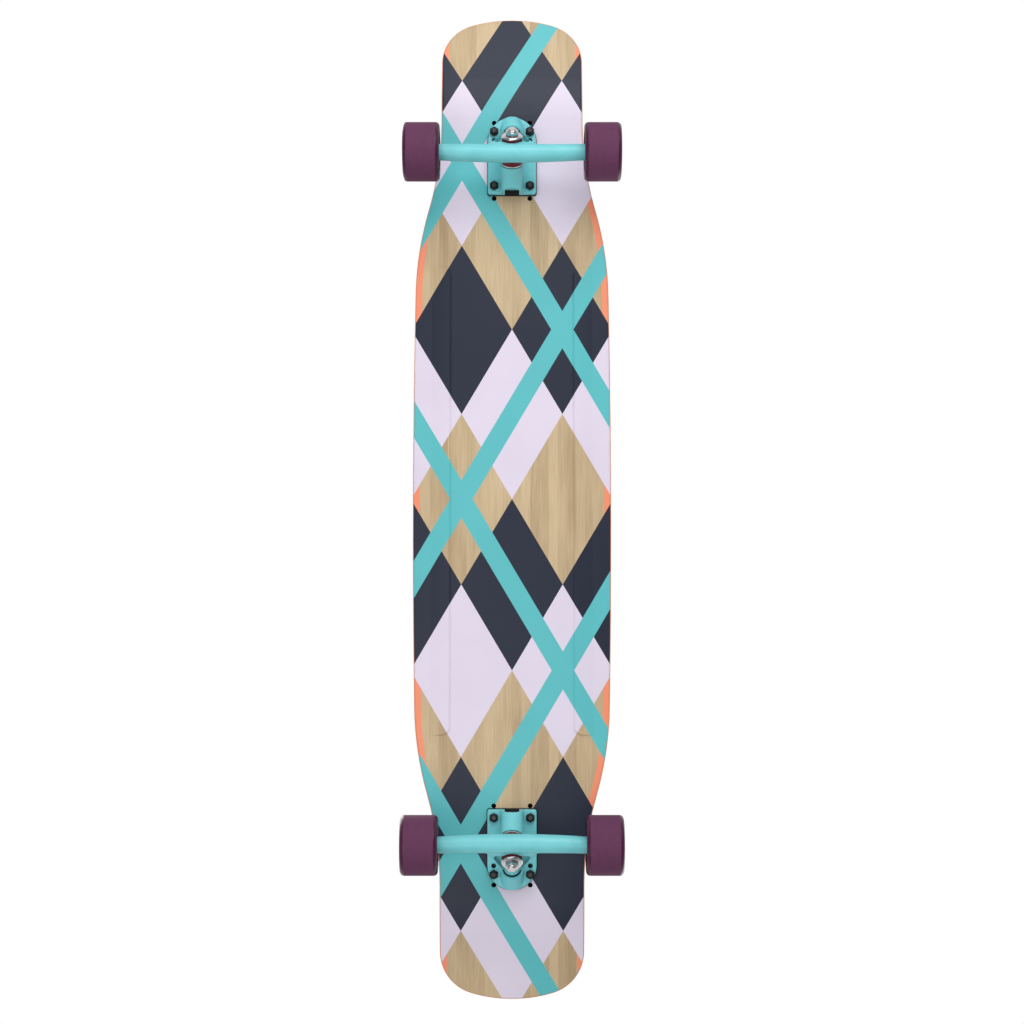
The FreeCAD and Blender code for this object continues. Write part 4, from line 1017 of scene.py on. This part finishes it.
class LONGBOARD_OT_wheels(bpy.types.Operator):
    """Finishes the tyres, cores and bearings."""

    bl_idname = "longboard.dress_wheels"
    bl_label = "Dress the wheels"

    def execute(self, context):
        settings = context.scene.longboard_wheel
        dress(tyre_finish(settings), *four("tyre"))
        dress(plain_finish("wheel_core", settings.core, smooth=0.25, rough=0.4), *four("core"))
        dress(plain_finish("bearing_shield", settings.shield, smooth=0.3, rough=0.5),
              *four("bearing_shields"))
        dress(plain_finish("ball_cage", settings.cage, smooth=0.4, rough=0.6), *four("bearing_cages"))
        dress(plain_finish("bearing_steel", settings.bearing, smooth=0.12, rough=0.3, metallic=1.0),
              *four("bearing_outer_rings"), *four("bearing_balls"), *pair("bearing_inner_rings"))
        return {"FINISHED"}


class LONGBOARD_OT_stage(bpy.types.Operator):
    """Sets the floor, the lamps, the world and the camera."""

    bl_idname = "longboard.set_stage"
    bl_label = "Set the stage"

    def execute(self, context):
        settings = context.scene.longboard_stage
        make_floor(settings)
        make_world(context.scene, settings)
        make_lamp("key", place=(1.5, 0.25, -1.5), size=1.6, power=25)
        make_lamp("fill", place=(-0.7, -0.6, -2.0), size=1.8, power=14)
        make_lamp("top", place=(0.8, -1.1, 1.9), size=1.6, power=26)
        make_lamp("top_fill", place=(-1.2, 1.3, 1.6), size=1.6, power=12)
        make_camera(context.scene, settings)
        context.scene.view_settings.view_transform = "Standard"
        return {"FINISHED"}


# Stage

# The floor's rings of points, and the middle and width of its fade, in metres
FLOOR_RINGS = np.array((0, 0.5, 1, 2, 4))
FLOOR_SIDES = 96
FLOOR_FADE, FLOOR_BLUR = 1.3, 1.6
# Reflections dim between these heights of a ray's direction
SKY_LOW, SKY_HIGH = -0.75, 0.35
SENSOR_WIDTH = 36
VIEW_END = 50


def make_floor(settings):
    """A pale disc under the wheels, shown only to a viewer above it, fading out to the white around."""
    angle = turn_angles(FLOOR_SIDES)
    points = round_points(FLOOR_RINGS[:, None], np.zeros((1, 1)), angle, np.zeros(3), UP)
    graph = Graph("pale_floor")
    x, y, _ = graph.xyz
    floor = grid_object("floor", points, graph.material)
    if floor.data.polygons[0].normal.z < 0:
        floor.data.flip_normals()
    path = graph.node("LightPath")
    geometry = graph.node("NewGeometry")
    above = -Field(graph, geometry.outputs["Backfacing"]) + 1
    seen = Field(graph, path.outputs["Is Camera Ray"]) * above
    distance = (x.power(2) + y.power(2)).root()
    cloud = graph.waves(per_metre=3)
    shown = seen * distance.below(FLOOR_FADE, blur=FLOOR_BLUR)
    glass = graph.node("BsdfTransparent")
    blend = graph.node("MixShader")
    output = graph.tree.nodes["Material Output"]
    graph.done(Base_Color=settings.floor, Roughness=graph.spread(cloud, start=0.7, end=0.8))
    graph.feed(blend.inputs[0], shown)
    graph.tree.links.new(glass.outputs[0], blend.inputs[1])
    graph.tree.links.new(graph.shader.outputs[0], blend.inputs[2])
    graph.tree.links.new(blend.outputs[0], output.inputs["Surface"])


def make_world(scene, settings):
    """White to the eye; reflections show white above and a dimmer level below; other light is even and
    softer."""
    world = bpy.data.worlds.new("studio")
    scene.world = world
    world.use_nodes = True
    tree = world.node_tree
    background = tree.nodes["Background"]
    background.inputs["Color"].default_value = (1, 1, 1, 1)
    path = tree.nodes.new("ShaderNodeLightPath")
    coordinates = tree.nodes.new("ShaderNodeTexCoord")
    ray = tree.nodes.new("ShaderNodeSeparateXYZ")
    tree.links.new(coordinates.outputs["Generated"], ray.inputs[0])
    sky = tree.nodes.new("ShaderNodeMapRange")
    sky.inputs["From Min"].default_value = SKY_LOW
    sky.inputs["From Max"].default_value = SKY_HIGH
    sky.inputs["To Min"].default_value = settings.low_sky
    tree.links.new(ray.outputs["Z"], sky.inputs["Value"])
    level = None
    for name, shown in (("Is Glossy Ray", sky.outputs["Result"]), ("Is Transmission Ray", None),
                        ("Is Camera Ray", None)):
        pick = tree.nodes.new("ShaderNodeMix")
        tree.links.new(path.outputs[name], pick.inputs["Factor"])
        pick.inputs["A"].default_value = settings.ambient
        pick.inputs["B"].default_value = 1
        if level:
            tree.links.new(level, pick.inputs["A"])
        if shown:
            tree.links.new(shown, pick.inputs["B"])
        level = pick.outputs["Result"]
    tree.links.new(level, background.inputs["Strength"])


def make_lamp(name, place, size, power):
    """A soft square lamp aimed at the origin, on the ground under the middle of the board."""
    data = bpy.data.lights.new(name, "AREA")
    data.size = size
    data.energy = power
    lamp = bpy.data.objects.new(name, data)
    lamp.location = place
    lamp.rotation_mode = "QUATERNION"
    lamp.rotation_quaternion = (-Vector(place)).to_track_quat("-Z", "Y")
    bpy.context.scene.collection.objects.link(lamp)


def make_camera(scene, settings):
    """Below the board, looking up at its underside with the nose at the top of the picture."""
    data = bpy.data.cameras.new("camera")
    data.sensor_width = SENSOR_WIDTH
    data.lens = settings.focal_length
    data.clip_end = VIEW_END
    camera = bpy.data.objects.new("camera", data)
    scene.collection.objects.link(camera)
    ahead = Vector((math.sin(settings.camera_tilt), 0, math.cos(settings.camera_tilt)))
    above = Vector((math.cos(settings.camera_tilt), 0, -math.sin(settings.camera_tilt)))
    turn = Matrix((above.cross(-ahead), above, -ahead)).transposed()
    camera.rotation_mode = "QUATERNION"
    camera.rotation_quaternion = turn.to_quaternion()
    camera.location = (-settings.camera_setback, 0, RISER_TOP - settings.camera_distance)
    scene.camera = camera


# Add-on

class LONGBOARD_PT_sidebar(bpy.types.Panel):
    """Lists the steps and their settings."""

    bl_idname = "LONGBOARD_PT_sidebar"
    bl_label = "Longboard"
    bl_space_type = "VIEW_3D"
    bl_region_type = "UI"
    bl_category = "Longboard"

    def draw(self, context):
        for operator in OPERATORS:
            self.layout.operator(operator.bl_idname)
        for name, group in SETTINGS.items():
            box = self.layout.box()
            for setting in group.__annotations__:
                box.prop(getattr(context.scene, name), setting)


SETTINGS = {
    "longboard_deck": LONGBOARD_PG_deck,
    "longboard_truck": LONGBOARD_PG_truck,
    "longboard_fastener": LONGBOARD_PG_fastener,
    "longboard_wheel": LONGBOARD_PG_wheel,
    "longboard_stage": LONGBOARD_PG_stage,
}
OPERATORS = (
    LONGBOARD_OT_deck,
    LONGBOARD_OT_trucks,
    LONGBOARD_OT_kingpins,
    LONGBOARD_OT_axles,
    LONGBOARD_OT_bolts,
    LONGBOARD_OT_bushings,
    LONGBOARD_OT_wheels,
    LONGBOARD_OT_stage,
)
CLASSES = (*SETTINGS.values(), *OPERATORS, LONGBOARD_PT_sidebar)


def register():
    for item in CLASSES:
        bpy.utils.register_class(item)
    for name, group in SETTINGS.items():
        setattr(bpy.types.Scene, name, PointerProperty(type=group))


def unregister():
    for name in SETTINGS:
        delattr(bpy.types.Scene, name)
    for item in reversed(CLASSES):
        bpy.utils.unregister_class(item)


def main():
    register()
    bpy.ops.longboard.dress_deck()
    bpy.ops.longboard.dress_trucks()
    bpy.ops.longboard.make_kingpins()
    bpy.ops.longboard.make_axles()
    bpy.ops.longboard.make_bolts()
    bpy.ops.longboard.make_bushings()
    bpy.ops.longboard.dress_wheels()
    bpy.ops.longboard.set_stage()


if __name__ == "__main__":
    main()
